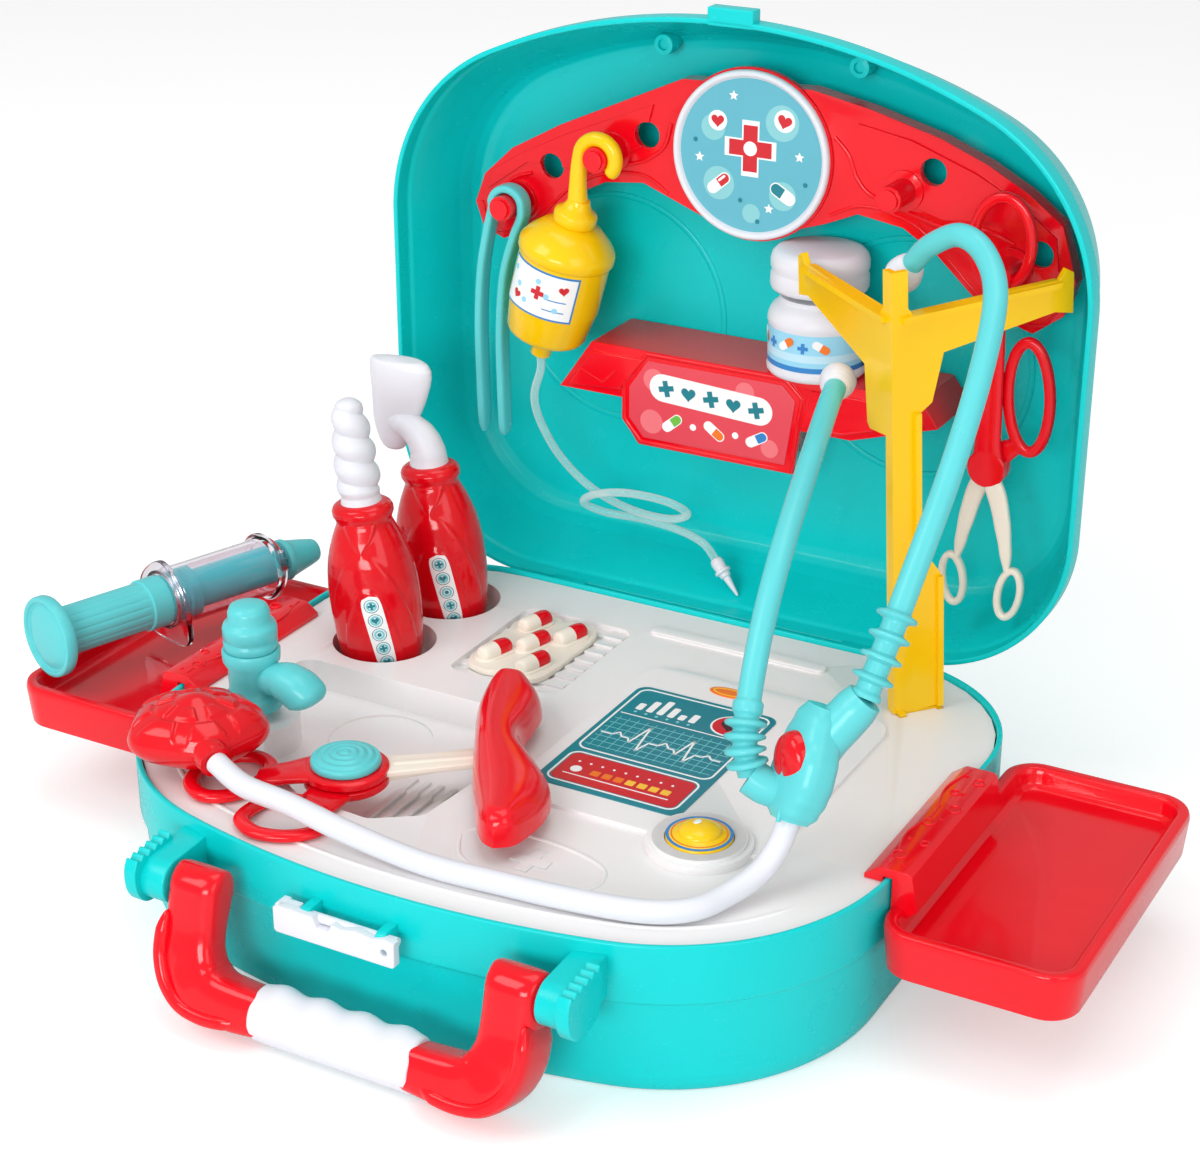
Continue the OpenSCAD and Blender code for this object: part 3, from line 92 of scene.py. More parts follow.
def run(path: Array) -> Array:
    """Return the length run along a path at each of its points."""
    return np.concatenate([[0], np.cumsum(np.linalg.norm(np.diff(path, axis=0), axis=1))])


def standing(points: Sequence, y: float) -> Array:
    """Return points of (x, z) as points in space at one Y."""
    p = np.asarray(points, float)
    return np.column_stack([p[:, 0], np.full(len(p), y), p[:, 1]])


def tilted(points: Array, tilt: float, centre: Sequence) -> Array:
    """Return points of the plane turned by tilt in degrees and then moved to a centre."""
    c, s = math.cos(math.radians(tilt)), math.sin(math.radians(tilt))
    return points @ np.array([[c, s], [-s, c]]) + np.asarray(centre, float)


def arc(centre: Sequence, radius: float, start: float, end: float, steps: int) -> Array:
    """Return steps + 1 points on a circle's arc, from start to end in degrees."""
    g = np.radians(np.linspace(start, end, steps + 1))
    return np.asarray(centre, float) + radius * np.stack([np.cos(g), np.sin(g)], 1)


def inset(loop: Array, depth: float) -> Array:
    """Draw a counterclockwise loop in by depth, along each point's own normal."""
    t = unit(np.roll(loop, -1, 0) - np.roll(loop, 1, 0))
    return loop + depth * np.stack([-t[:, 1], t[:, 0]], 1)


def rounded(low: Sequence, high: Sequence, radius: float, steps: int = 6) -> Array:
    """Return a counterclockwise rectangle with rounded corners.

    Args:
        low: Its lower left corner.
        high: Its upper right corner.
        radius: Radius of its corners.
        steps: Steps round each corner.

    Returns:
        The loop's points.
    """
    (x0, y0), (x1, y1), r = low, high, radius
    return np.vstack([arc((x1 - r, y0 + r), r, -90, 0, steps), arc((x1 - r, y1 - r), r, 0, 90, steps),
                      arc((x0 + r, y1 - r), r, 90, 180, steps), arc((x0 + r, y0 + r), r, 180, 270, steps)])


def loft(rings: Array, caps: bool = True) -> Shape:
    """Join rings of equal counts into a skin.

    Formula: quads between neighbours (row, column), wrapped round the columns, with flat end caps.

    Args:
        rings: Points as rows, columns and three coordinates.
        caps: Whether the first and last rings are closed.

    Returns:
        The vertices and faces.
    """
    rings = np.asarray(rings, float)
    m, n = rings.shape[:2]
    row, col = np.meshgrid(np.arange(m - 1), np.arange(n), indexing="ij")
    nxt = (col + 1) % n
    quads = np.stack([row * n + col, row * n + nxt, (row + 1) * n + nxt, (row + 1) * n + col], -1).reshape(-1, 4)
    faces = quads.tolist()
    if caps:
        faces += [list(range(n - 1, -1, -1)), list(range((m - 1) * n, m * n))]
    return rings.reshape(-1, 3), faces


def frames(path: Array, up: Sequence) -> tuple[Array, Array, Array]:
    """Carry a frame along a path without twist.

    Args:
        path: Points of the path.
        up: Direction that the first normal leans to.

    Returns:
        Tangents, normals and side vectors, one row for each point.
    """
    ahead = np.vstack([path[1:], path[-1:]])
    behind = np.vstack([path[:1], path[:-1]])
    t = unit(ahead - behind)
    n = np.zeros_like(t)
    last = np.asarray(up, float)
    for i, ti in enumerate(t):
        last = unit(last - (last @ ti) * ti)
        n[i] = last
    return t, n, np.cross(n, t)


def along(path: Array, half_w: Sequence | float, half_h: Sequence | float, sides: int = 32,
          up: Sequence = (0, 0, 1), square: float = 0.0) -> Shape:
    """Carry a rounded section along a path.

    Formula: each ring is centre + s(g) (w cos g side + h sin g normal), s making the section squarer.

    Args:
        path: Points of the path.
        half_w: Half width at each point, or one for all.
        half_h: Half height at each point, or one for all.
        sides: Points round each ring.
        up: Direction of the first normal.
        square: How square the section is; 0 is an ellipse.

    Returns:
        The vertices and faces.
    """
    path = np.asarray(path, float)
    _, n, side = frames(path, up)
    w = np.broadcast_to(np.asarray(half_w, float), len(path))[:, None, None]
    h = np.broadcast_to(np.asarray(half_h, float), len(path))[:, None, None]
    g = 2 * np.pi * (np.arange(sides) + 0.5) / sides
    power = 2 + square
    s = (np.abs(np.cos(g)) ** power + np.abs(np.sin(g)) ** power) ** (-1 / power)
    c, d = (s * np.cos(g))[None, :, None], (s * np.sin(g))[None, :, None]
    return loft(path[:, None] + w * c * side[:, None] + h * d * n[:, None])


def stretch(values: Sequence, count: int) -> Array:
    """Spread given values evenly over count points by smooth interpolation."""
    v = np.asarray(values, float)
    t = np.linspace(0, len(v) - 1, count)
    i = np.minimum(t.astype(int), len(v) - 2)
    f = t - i
    f = f * f * (3 - 2 * f)
    return v[i] * (1 - f) + v[i + 1] * f


def lathe(profile: Sequence, steps: int = 64) -> Shape:
    """Turn a profile of (radius, height) round Z.

    Formula: (r cos g, r sin g, z) with g from 0 to a full turn; points on the axis are poles.

    Args:
        profile: Radii and heights, from foot to top.
        steps: Steps round the turn.

    Returns:
        The vertices and faces.
    """
    p = np.asarray(profile, float)
    g = 2 * np.pi * np.arange(steps) / steps
    r = np.maximum(p[:, :1], 1e-4)
    closed = np.allclose(p[0], p[-1])
    return loft(np.stack([r * np.cos(g), r * np.sin(g), np.repeat(p[:, 1:], steps, 1)], -1), caps=not closed)


def join(*shapes: Shape) -> Shape:
    """Put several shapes into one list of vertices and faces."""
    verts, faces, base = [], [], 0
    for v, f in shapes:
        verts.append(v)
        faces += [[i + base for i in face] for face in f]
        base += len(v)
    return np.vstack(verts), faces


def moved(shape: Shape, matrix: Matrix | None = None, by: Sequence = (0, 0, 0)) -> Shape:
    """Return a shape turned by a matrix and then moved by a vector."""
    v, f = shape
    if matrix is not None:
        m = np.array(matrix.to_4x4())
        v = v @ m[:3, :3].T + m[:3, 3]
    return v + np.asarray(by, float), f


def mirrored(shape: Shape) -> Shape:
    """Return a shape mirrored across the middle, its faces turned so that they still look outwards."""
    v, f = shape
    return v * vec(-1, 1, 1), [face[::-1] for face in f]


def both(shape: Shape) -> Shape:
    """Return a shape together with its mirror image."""
    return join(shape, mirrored(shape))


def turned(axis: str, degrees: float) -> Matrix:
    """Return a turn about one axis."""
    return Matrix.Rotation(math.radians(degrees), 4, axis)


FORWARD = (0, -1, 0)
# Lays a shape of the XY plane into the YZ plane, with its thickness along X.
STAND = Matrix(((0, 0, 1, 0), (1, 0, 0, 0), (0, 1, 0, 0), (0, 0, 0, 1)))


def facing(direction: Sequence, at: Sequence) -> Matrix:
    """Return the transform that lays Z along a direction and moves the origin to a point."""
    turn = Vector(direction).normalized().to_track_quat("Z", "Y").to_matrix().to_4x4()
    return Matrix.Translation(Vector(at)) @ turn


def rod_x(radius: float, length: float, at: Sequence, steps: int = 32) -> Shape:
    """Return a round rod that runs along X from a point."""
    return moved(lathe([(0, 0), (radius, 0), (radius, length), (0, length)], steps), turned("Y", 90), at)


# ---------------------------------------------------------------- finishes


def linear(colour: Sequence[int]) -> tuple[float, float, float, float]:
    """Turn a colour of three 0-255 steps into linear light with full alpha."""
    c = np.asarray(colour, float) / 255
    c = np.where(c <= 0.04045, c / 12.92, ((c + 0.055) / 1.055) ** 2.4)
    return (float(c[0]), float(c[1]), float(c[2]), 1.0)


def moulding_group() -> bpy.types.NodeTree:
    """Build the effect that moulded plastic shares: soft flow marks, fine skin and faint scuffs.

    Returns:
        A node group that gives Flow, Skin and Scuff, each from 0 to 1.
    """
    name = "moulding"
    if name in bpy.data.node_groups:
        return bpy.data.node_groups[name]
    g = bpy.data.node_groups.new(name, "ShaderNodeTree")
    for out in ("Flow", "Skin", "Scuff"):
        g.interface.new_socket(name=out, in_out="OUTPUT", socket_type="NodeSocketFloat")
    n, link = g.nodes, g.links.new
    gout, place = n.new("NodeGroupOutput"), n.new("ShaderNodeTexCoord")
    flow, skin, scuff = (n.new("ShaderNodeTexNoise") for _ in range(3))
    for node, size, detail in ((flow, 14.0, 3.0), (skin, 900.0, 2.0), (scuff, 60.0, 6.0)):
        node.inputs["Scale"].default_value = size
        link(place.outputs["Object"], node.inputs["Vector"])
        node.inputs["Detail"].default_value = detail
    flow.inputs["Distortion"].default_value = 1.2
    scuff.inputs["Roughness"].default_value = 0.72
    ramp = n.new("ShaderNodeMapRange")
    ramp.inputs["From Min"].default_value, ramp.inputs["From Max"].default_value = 0.56, 0.74
    link(scuff.outputs["Fac"], ramp.inputs["Value"])
    link(flow.outputs["Fac"], gout.inputs["Flow"])
    link(skin.outputs["Fac"], gout.inputs["Skin"])
    link(ramp.outputs["Result"], gout.inputs["Scuff"])
    return g


class Surface(Enum):
    """How a finish takes light."""

    GLOSS = "gloss"
    SATIN = "satin"
    CLEAR = "clear"
    METAL = "metal"
    FILM = "film"
    PRINT = "print"


# What each surface sets on the shader, beyond the colour, the roughness and the bump that all have.
LIGHT = {
    Surface.GLOSS: {"Specular IOR Level": 0.28, "Coat Weight": 0.3, "Coat Roughness": 0.05},
    Surface.SATIN: {"Specular IOR Level": 0.28},
    Surface.CLEAR: {"Transmission Weight": 1.0, "IOR": 1.42},
    Surface.METAL: {"Metallic": 1.0},
    Surface.FILM: {},
    Surface.PRINT: {},
}
SCUFFED = 0.07  # how much rougher a scuff is than the skin round it
BRIGHT = 640  # sum of the colour's steps above which plastic lets a little light in


@dataclass(frozen=True)
class Finish:
    """One moulded, printed or metal finish.

    Attributes:
        name: Name of the material.
        colour: Colour in 0-255 steps.
        surface: How it takes light.
        roughness: Plain roughness, before scuffs.
        slot: The record's material slot. Not used.
        relief: Height of its skin in millimetres.
        flow: How strongly its colour drifts.
    """

    name: str
    colour: tuple[int, int, int]
    surface: Surface
    roughness: float
    slot: str
    relief: float = 0.02
    flow: float = 0.06

    def material(self) -> bpy.types.Material:
        """Build the material once, and return it.

        Returns:
            The material, with its colour drift, roughness and skin from the shared group.
        """
        name = "finish_" + self.name
        if name in bpy.data.materials:
            return bpy.data.materials[name]
        mat = bpy.data.materials.new(name)
        mat.use_nodes = True
        n, link = mat.node_tree.nodes, mat.node_tree.links.new
        bsdf = n["Principled BSDF"]
        marks = n.new("ShaderNodeGroup")
        marks.node_tree = moulding_group()
        base = np.array(linear(self.colour))
        mix = n.new("ShaderNodeMix")
        mix.data_type = "RGBA"
        low, high = base * (1 - self.flow), np.minimum(base * (1 + self.flow) + 0.004, 1)
        mix.inputs["A"].default_value = (*low[:3], 1)
        mix.inputs["B"].default_value = (*high[:3], 1)
        link(marks.outputs["Flow"], mix.inputs["Factor"])
        link(mix.outputs["Result"], bsdf.inputs["Base Color"])
        rough = n.new("ShaderNodeMapRange")
        rough.inputs["To Min"].default_value = self.roughness
        rough.inputs["To Max"].default_value = min(self.roughness + SCUFFED, 1)
        link(marks.outputs["Scuff"], rough.inputs["Value"])
        link(rough.outputs["Result"], bsdf.inputs["Roughness"])
        bump = n.new("ShaderNodeBump")
        bump.inputs["Distance"].default_value = self.relief * MM
        bump.inputs["Strength"].default_value = 0.6
        link(marks.outputs["Skin"], bump.inputs["Height"])
        link(bump.outputs["Normal"], bsdf.inputs["Normal"])
        for key, value in {"IOR": 1.5, **LIGHT[self.surface]}.items():
            bsdf.inputs[key].default_value = value
        if self.surface is Surface.FILM:
            edge, clear = n.new("ShaderNodeLayerWeight"), n.new("ShaderNodeMapRange")
            edge.inputs["Blend"].default_value = 0.5
            clear.inputs["To Min"].default_value, clear.inputs["To Max"].default_value = 0.16, 0.95
            link(edge.outputs["Facing"], clear.inputs["Value"])
            link(clear.outputs["Result"], bsdf.inputs["Alpha"])
        if self.surface in (Surface.GLOSS, Surface.SATIN) and sum(self.colour) > BRIGHT:
            bsdf.inputs["Subsurface Weight"].default_value = 0.12
            bsdf.inputs["Subsurface Radius"].default_value = (0.004, 0.003, 0.002)
        return mat


TEAL = Finish("teal_shell", (0, 206, 206), Surface.SATIN, 0.26, "shell_teal", 0.03, 0.05)
DECK = Finish("deck_white", (238, 236, 236), Surface.SATIN, 0.28, "deck_white", 0.02, 0.02)
RED = Finish("red_gloss", (236, 0, 24), Surface.GLOSS, 0.16, "red_gloss", 0.012, 0.07)
CRIMSON = Finish("crimson_gloss", (222, 0, 20), Surface.GLOSS, 0.15, "red_gloss", 0.012, 0.08)
WHITE = Finish("white_soft", (226, 227, 234), Surface.SATIN, 0.32, "white_soft", 0.02, 0.02)
YELLOW = Finish("yellow_gloss", (255, 202, 0), Surface.GLOSS, 0.2, "yellow_gloss", 0.012, 0.05)
BUTTON = Finish("button_yellow", (255, 204, 10), Surface.GLOSS, 0.18, "button_yellow", 0.01, 0.05)
AQUA = Finish("aqua", (96, 206, 210), Surface.SATIN, 0.24, "aqua", 0.015, 0.05)
CREAM = Finish("cream", (240, 232, 218), Surface.SATIN, 0.3, "cream", 0.02, 0.03)
STEEL = Finish("screw_steel", (190, 190, 194), Surface.METAL, 0.3, "screw_steel", 0.01, 0.1)
SPRING = Finish("spring_steel", (176, 176, 182), Surface.METAL, 0.26, "spring_steel", 0.01, 0.1)
CLEAR = Finish("clear_plastic", (248, 245, 252), Surface.CLEAR, 0.05, "clear_plastic", 0.006, 0.03)
TUBE = Finish("drip_clear", (226, 240, 240), Surface.FILM, 0.08, "clear_plastic", 0.0, 0.02)


def ink(name: str, colour: tuple[int, int, int]) -> Finish:
    """Return a printed colour of the labels."""
    return Finish("ink_" + name, colour, Surface.PRINT, 0.36, "printed_label", 0.008, 0.02)


INK_TEAL = ink("teal", (8, 126, 140))
INK_PALE = ink("pale", (128, 208, 214))
INK_WHITE = ink("white", (245, 246, 246))
INK_RED = ink("red", (206, 22, 36))
INK_DARK = ink("dark", (60, 20, 34))
INK_GOLD = ink("gold", (250, 196, 60))
INK_GREEN = ink("green", (110, 190, 70))
INK_BLUE = ink("blue", (40, 130, 200))
INK_ORANGE = ink("orange", (240, 120, 30))
INK_SKY = ink("sky", (150, 214, 240))


# ---------------------------------------------------------------- making pieces


# Angles in degrees; edges sharper than this stay sharp.
CRISP, KEEN, FIRM, ROUND, SWEPT, SOFT, SMOOTH = 30, 36, 40, 44, 50, 60, 70
DOUBLE = 1e-6  # metres within which two points of a shape count as one
CAD_DOUBLE = 4e-6  # the same for a CAD mesh, whose facets meet less closely
CAD_ANGLE = 34  # degrees; edges of a CAD mesh sharper than this are rounded


def put(name: str, data: bpy.types.ID) -> bpy.types.Object:
    """Make an object of the data and link it to the scene."""
    obj = bpy.data.objects.new(name, data)
    bpy.context.scene.collection.objects.link(obj)
    return obj


def shade(mesh: bpy.types.Mesh, angle: float) -> None:
    """Shade a mesh smooth, with edges sharper than an angle in degrees left sharp."""
    mesh.polygons.foreach_set("use_smooth", [True] * len(mesh.polygons))
    mesh.set_sharp_from_angle(angle=math.radians(angle))


def finish_mesh(mesh: bpy.types.Mesh, angle: float) -> None:
    """Merge a mesh's doubles, turn its faces outwards and shade it smooth up to an angle."""
    bm = bmesh.new()
    bm.from_mesh(mesh)
    bmesh.ops.remove_doubles(bm, verts=bm.verts, dist=DOUBLE)
    bmesh.ops.recalc_face_normals(bm, faces=bm.faces)
    bm.to_mesh(mesh)
    bm.free()
    shade(mesh, angle)


def settle(obj: bpy.types.Object, body: str, look: Finish, node: str = "") -> bpy.types.Object:
    """Give a piece its finish, its body and the node that it stands for.

    Args:
        obj: The piece.
        body: The body that it rides on.
        look: Its finish.
        node: Node that it hides, if any.

    Returns:
        The same piece.
    """
    if not obj.data.materials:
        obj.data.materials.append(look.material())
    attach(obj, body)
    if node:
        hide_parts(node)
    LOG.info("%s rides on %s", obj.name, body)
    return obj


def piece(name: str, shape: Shape, body: str, look: Finish, node: str = "", angle: float = 38) -> bpy.types.Object:
    """Make a piece of a shape in millimetres.

    Args:
        name: Name of the piece.
        shape: Its vertices and faces.
        body: The body that it rides on.
        look: Its finish.
        node: Node that it stands for, if any.
        angle: Edges sharper than this stay sharp, in degrees.

    Returns:
        The piece's object.
    """
    verts, faces = shape
    mesh = bpy.data.meshes.new(name)
    mesh.from_pydata((verts * MM).tolist(), [], faces)
    finish_mesh(mesh, angle)
    return settle(put(name, mesh), body, look, node)


def plate(loops: Sequence[Array], thickness: float, edge: float = 0.5, rounds: int = 3) -> Shape:
    """Make a flat plate with rounded edges in the XY plane, its foot at zero.

    Formula: the region between the loops, filled flat, walls straight up, rims rounded by a quarter circle.

    Args:
        loops: Outer loop and holes, as points in the plane.
        thickness: Thickness of the plate.
        edge: Radius of its rounded rims.
        rounds: Steps of that rounding.

    Returns:
        The vertices and faces.
    """
    curve = bpy.data.curves.new("outline", "CURVE")
    curve.dimensions = "2D"
    curve.fill_mode = "BOTH"
    curve.extrude = max(thickness / 2 - edge, 0)
    curve.bevel_depth = edge
    curve.bevel_resolution = rounds
    curve.offset = -edge
    for loop in loops:
        s = curve.splines.new("POLY")
        s.points.add(len(loop) - 1)
        s.points.foreach_set("co", np.column_stack([loop, np.zeros(len(loop)), np.ones(len(loop))]).ravel())
        s.use_cyclic_u = True
    obj = put("outline", curve)
    mesh = bpy.data.meshes.new_from_object(obj.evaluated_get(bpy.context.evaluated_depsgraph_get()))
    verts = np.zeros(len(mesh.vertices) * 3)
    mesh.vertices.foreach_get("co", verts)
    faces = [list(p.vertices) for p in mesh.polygons]
    bpy.data.objects.remove(obj)
    bpy.data.curves.remove(curve)
    bpy.data.meshes.remove(mesh)
    return verts.reshape(-1, 3) + vec(0, 0, thickness / 2), faces


def slab(loops: Sequence[Array], front: float, thickness: float, edge: float = 0.5) -> Shape:
    """Stand a plate up in the XZ plane, with its front face at Y = front."""
    return moved(plate(loops, thickness, edge), turned("X", 90), (0, front + thickness, 0))


def circle(centre: Sequence, radius: float, steps: int = 48) -> Array:
    """Return a counterclockwise circle's points."""
    return arc(centre, radius, 0, 360, steps)[:-1]


def ellipse(centre: Sequence, rx: float, ry: float, tilt: float = 0, steps: int = 56) -> Array:
    """Return a counterclockwise ellipse's points, turned by tilt in degrees."""
    return tilted(circle((0, 0), 1, steps) * vec(rx, ry), tilt, centre)


def cad_copy(node: str, body: str, look: Finish, bevel: float) -> bpy.types.Object:
    """Make a merged, smoothly shaded copy of a CAD node with rounded edges, which stands for the node.

    Args:
        node: The node.
        body: Its body.
        look: Its finish.
        bevel: Width of its rounded edges in millimetres, or zero for none.

    Returns:
        The copy.
    """
    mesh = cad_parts[node].data.copy()
    mesh.materials.clear()
    bm = bmesh.new()
    bm.from_mesh(mesh)
    bmesh.ops.remove_doubles(bm, verts=bm.verts, dist=CAD_DOUBLE)
    bmesh.ops.dissolve_degenerate(bm, dist=2e-6, edges=bm.edges)
    bmesh.ops.dissolve_limit(bm, angle_limit=math.radians(0.6), verts=bm.verts, edges=bm.edges)
    bm.to_mesh(mesh)
    bm.free()
    shade(mesh, CAD_ANGLE)
    obj = put(node + "_dressed", mesh)
    if bevel:
        mod = obj.modifiers.new("edges", "BEVEL")
        mod.width = bevel * MM
        mod.segments = 2
        mod.limit_method = "ANGLE"
        mod.angle_limit = math.radians(CAD_ANGLE)
        mod.harden_normals = False
    return settle(obj, body, look, node)


# ---------------------------------------------------------------- camera, floor and light


FLOOR = -0.0002  # metres; just under the feet, so that the two faces don't fight
FLOOR_HALF = 6.0
SENSOR = 36
SKY, SKY_SEEN = 0.52, 1.0  # strength of the sky as light, and as the camera sees it
FLOOR_GLOW = 0.34  # what the floor adds for the camera alone, to come near the white page


@dataclass
class Studio:
    """Camera, floor and soft light.

    Attributes:
        eye: Camera's place in millimetres.
        azimuth: Turn of the view from straight ahead, in degrees.
        elevation: Height of the view, in degrees.
        lens: Focal length in millimetres on a 36 mm sensor.
    """

    eye: tuple[float, float, float] = (423.8, -727.0, 511.9)
    azimuth: float = 29.04
    elevation: float = 24.36
    lens: float = 73.28

    def camera(self) -> None:
        """Set up the camera at the photograph's viewing angle."""
        cam = put("camera", bpy.data.cameras.new("camera"))
        cam.data.lens = self.lens
        cam.data.sensor_width = SENSOR
        cam.data.sensor_fit = "HORIZONTAL"
        cam.data.clip_start, cam.data.clip_end = 0.05, 30
        cam.location = Vector(self.eye) * MM
        cam.rotation_euler = (math.radians(90 - self.elevation), 0, math.radians(self.azimuth))
        bpy.context.scene.camera = cam

    def floor(self) -> None:
        """Lay the pale floor that keeps the object's shadow."""
        mesh = bpy.data.meshes.new("floor")
        s = FLOOR_HALF
        mesh.from_pydata([(-s, -s, FLOOR), (s, -s, FLOOR), (s, s, FLOOR), (-s, s, FLOOR)], [], [(0, 1, 2, 3)])
        obj = put("floor", mesh)
        mat = bpy.data.materials.new("floor")
        mat.use_nodes = True
        n, link = mat.node_tree.nodes, mat.node_tree.links.new
        bsdf = n["Principled BSDF"]
        bsdf.inputs["Base Color"].default_value = (0.86, 0.86, 0.86, 1)
        bsdf.inputs["Roughness"].default_value = 0.6
        bsdf.inputs["Specular IOR Level"].default_value = 0.2
        path = n.new("ShaderNodeLightPath")
        glow = n.new("ShaderNodeMath")
        glow.operation = "MULTIPLY"
        glow.inputs[1].default_value = FLOOR_GLOW
        link(path.outputs["Is Camera Ray"], glow.inputs[0])
        bsdf.inputs["Emission Color"].default_value = (1, 1, 1, 1)
        link(glow.outputs[0], bsdf.inputs["Emission Strength"])
        mesh.materials.append(mat)

    def world(self) -> None:
        """Light the scene with a plain pale sky that the camera sees as white."""
        world = bpy.data.worlds.new("studio")
        bpy.context.scene.world = world
        world.use_nodes = True
        n, link = world.node_tree.nodes, world.node_tree.links.new
        back = n["Background"]
        back.inputs["Color"].default_value = (1, 1, 1, 1)
        path = n.new("ShaderNodeLightPath")
        mix = n.new("ShaderNodeMapRange")
        mix.inputs["To Min"].default_value, mix.inputs["To Max"].default_value = SKY, SKY_SEEN
        seen = n.new("ShaderNodeMath")
        seen.operation = "MAXIMUM"
        link(path.outputs["Is Camera Ray"], seen.inputs[0])
        link(path.outputs["Is Transmission Ray"], seen.inputs[1])
        link(seen.outputs[0], mix.inputs["Value"])
        link(mix.outputs["Result"], back.inputs["Strength"])

    def lamp(self, name: str, at: Sequence[float], aim: Sequence[float], size: tuple[float, float],
             power: float) -> None:
        """Hang one soft box.

        Args:
            name: Its name.
            at: Its place in metres.
            aim: The point that it faces.
            size: Its width and height in metres.
            power: Its power in watts.
        """
        data = bpy.data.lights.new(name, "AREA")
        data.shape = "RECTANGLE"
        data.size, data.size_y = size
        data.energy = power
        obj = put(name, data)
        obj.location = at
        obj.rotation_euler = (Vector(at) - Vector(aim)).to_track_quat("Z", "Y").to_euler()

    def build(self) -> None:
        """Set up camera, floor, sky and lamps."""
        self.camera()
        self.floor()
        self.world()
        middle = (0.0, 0.0, 0.12)
        self.lamp("key", (-0.9, -1.3, 1.7), middle, (1.1, 1.1), 13)
        self.lamp("fill", (1.7, -0.9, 0.9), middle, (0.9, 1.3), 6)
        self.lamp("top", (0.1, 0.2, 2.1), middle, (1.6, 1.0), 9)
        self.lamp("front", (0.5, -3.0, 0.95), (0.0, 0.17, 0.2), (1.6, 0.9), 44)
        bpy.context.scene.view_settings.view_transform = "Standard"


# ---------------------------------------------------------------- the case


@dataclass(frozen=True)
class Outline:
    """The case's rounded outline: a bowed front, wide front corners and round back corners.

    Attributes:
        half_w: Half width.
        front: Y of the front's middle.
        bow: Radius of the bowed front.
        front_r: Radius of the front corners.
        back_r: Radius of the back corners.
        back: Y of the back.
    """

    half_w: float = 156.0
    front: float = -130.0
    bow: float = 361.0
    front_r: float = 91.0
    back_r: float = 66.0
    back: float = 130.0

    def loop(self, o: float = 0.0) -> Array:
        """Return the outline drawn in by o, counterclockwise from the left end of the bow.

        Formula: five arcs that meet with common tangents, each with its radius less o.
        """
        rc, w = self.front_r, self.half_w
        cy = self.front + self.bow - math.sqrt((self.bow - rc) ** 2 - (w - rc) ** 2)
        g = math.degrees(math.atan2(cy - self.front - self.bow, w - rc))
        rb = self.back_r
        parts = [arc((0, self.front + self.bow), self.bow - o, -180 - g, g, 96), arc((w - rc, cy), rc - o, g, 0, 44),
                 arc((w - rb, self.back - rb), rb - o, 0, 90, 36), arc((rb - w, self.back - rb), rb - o, 90, 180, 36),
                 arc((rc - w, cy), rc - o, 180, 180 - g, 44)[:-1]]
        return np.vstack([parts[0], *[p[1:] for p in parts[1:]]])

    def rings(self, section: Sequence) -> Array:
        """Return the outline at each (inset, height) of a section."""
        return np.stack([np.column_stack([self.loop(o), np.full(len(self.loop(o)), z)]) for o, z in section])


def rounded_section(section: Sequence, radius: float = 0.6, steps: int = 3) -> list:
    """Round the corners of a section of (inset, height) points.

    Formula: each inner corner is replaced by a quadratic curve whose ends lie radius away along its sides.

    Args:
        section: The section's corners.
        radius: How far from the corner the rounding starts.
        steps: Steps of each rounding.

    Returns:
        The rounded section.
    """
    p = np.asarray(section, float)
    out = [p[0]]
    for a, b, c in zip(p[:-2], p[1:-1], p[2:]):
        ra = min(radius, 0.45 * float(np.linalg.norm(a - b)))
        rc = min(radius, 0.45 * float(np.linalg.norm(c - b)))
        s, e = b + unit(a - b) * ra, b + unit(c - b) * rc
        for t in np.linspace(0, 1, steps + 1):
            out.append((1 - t) ** 2 * s + 2 * t * (1 - t) * b + t * t * e)
    out.append(p[-1])
    return [tuple(q) for q in out]


CASE = Outline()
RIM = 62.0
DECK_Z = 60.0
HINGE = (130.5, 57.2)
LID_Y, LID_Z, LID_IN = 135.3, 57.7, 181.1
FLAT_Z = DECK_Z + 0.15
CUP_FOOT = DECK_Z - 15 + 0.15 + 1.8
HANDLE_PIVOT = (-139.0, 48.0)
LATCH_AXIS = (-136.0, 49.0)
BUTTON_AT = (86.0, -45.0)


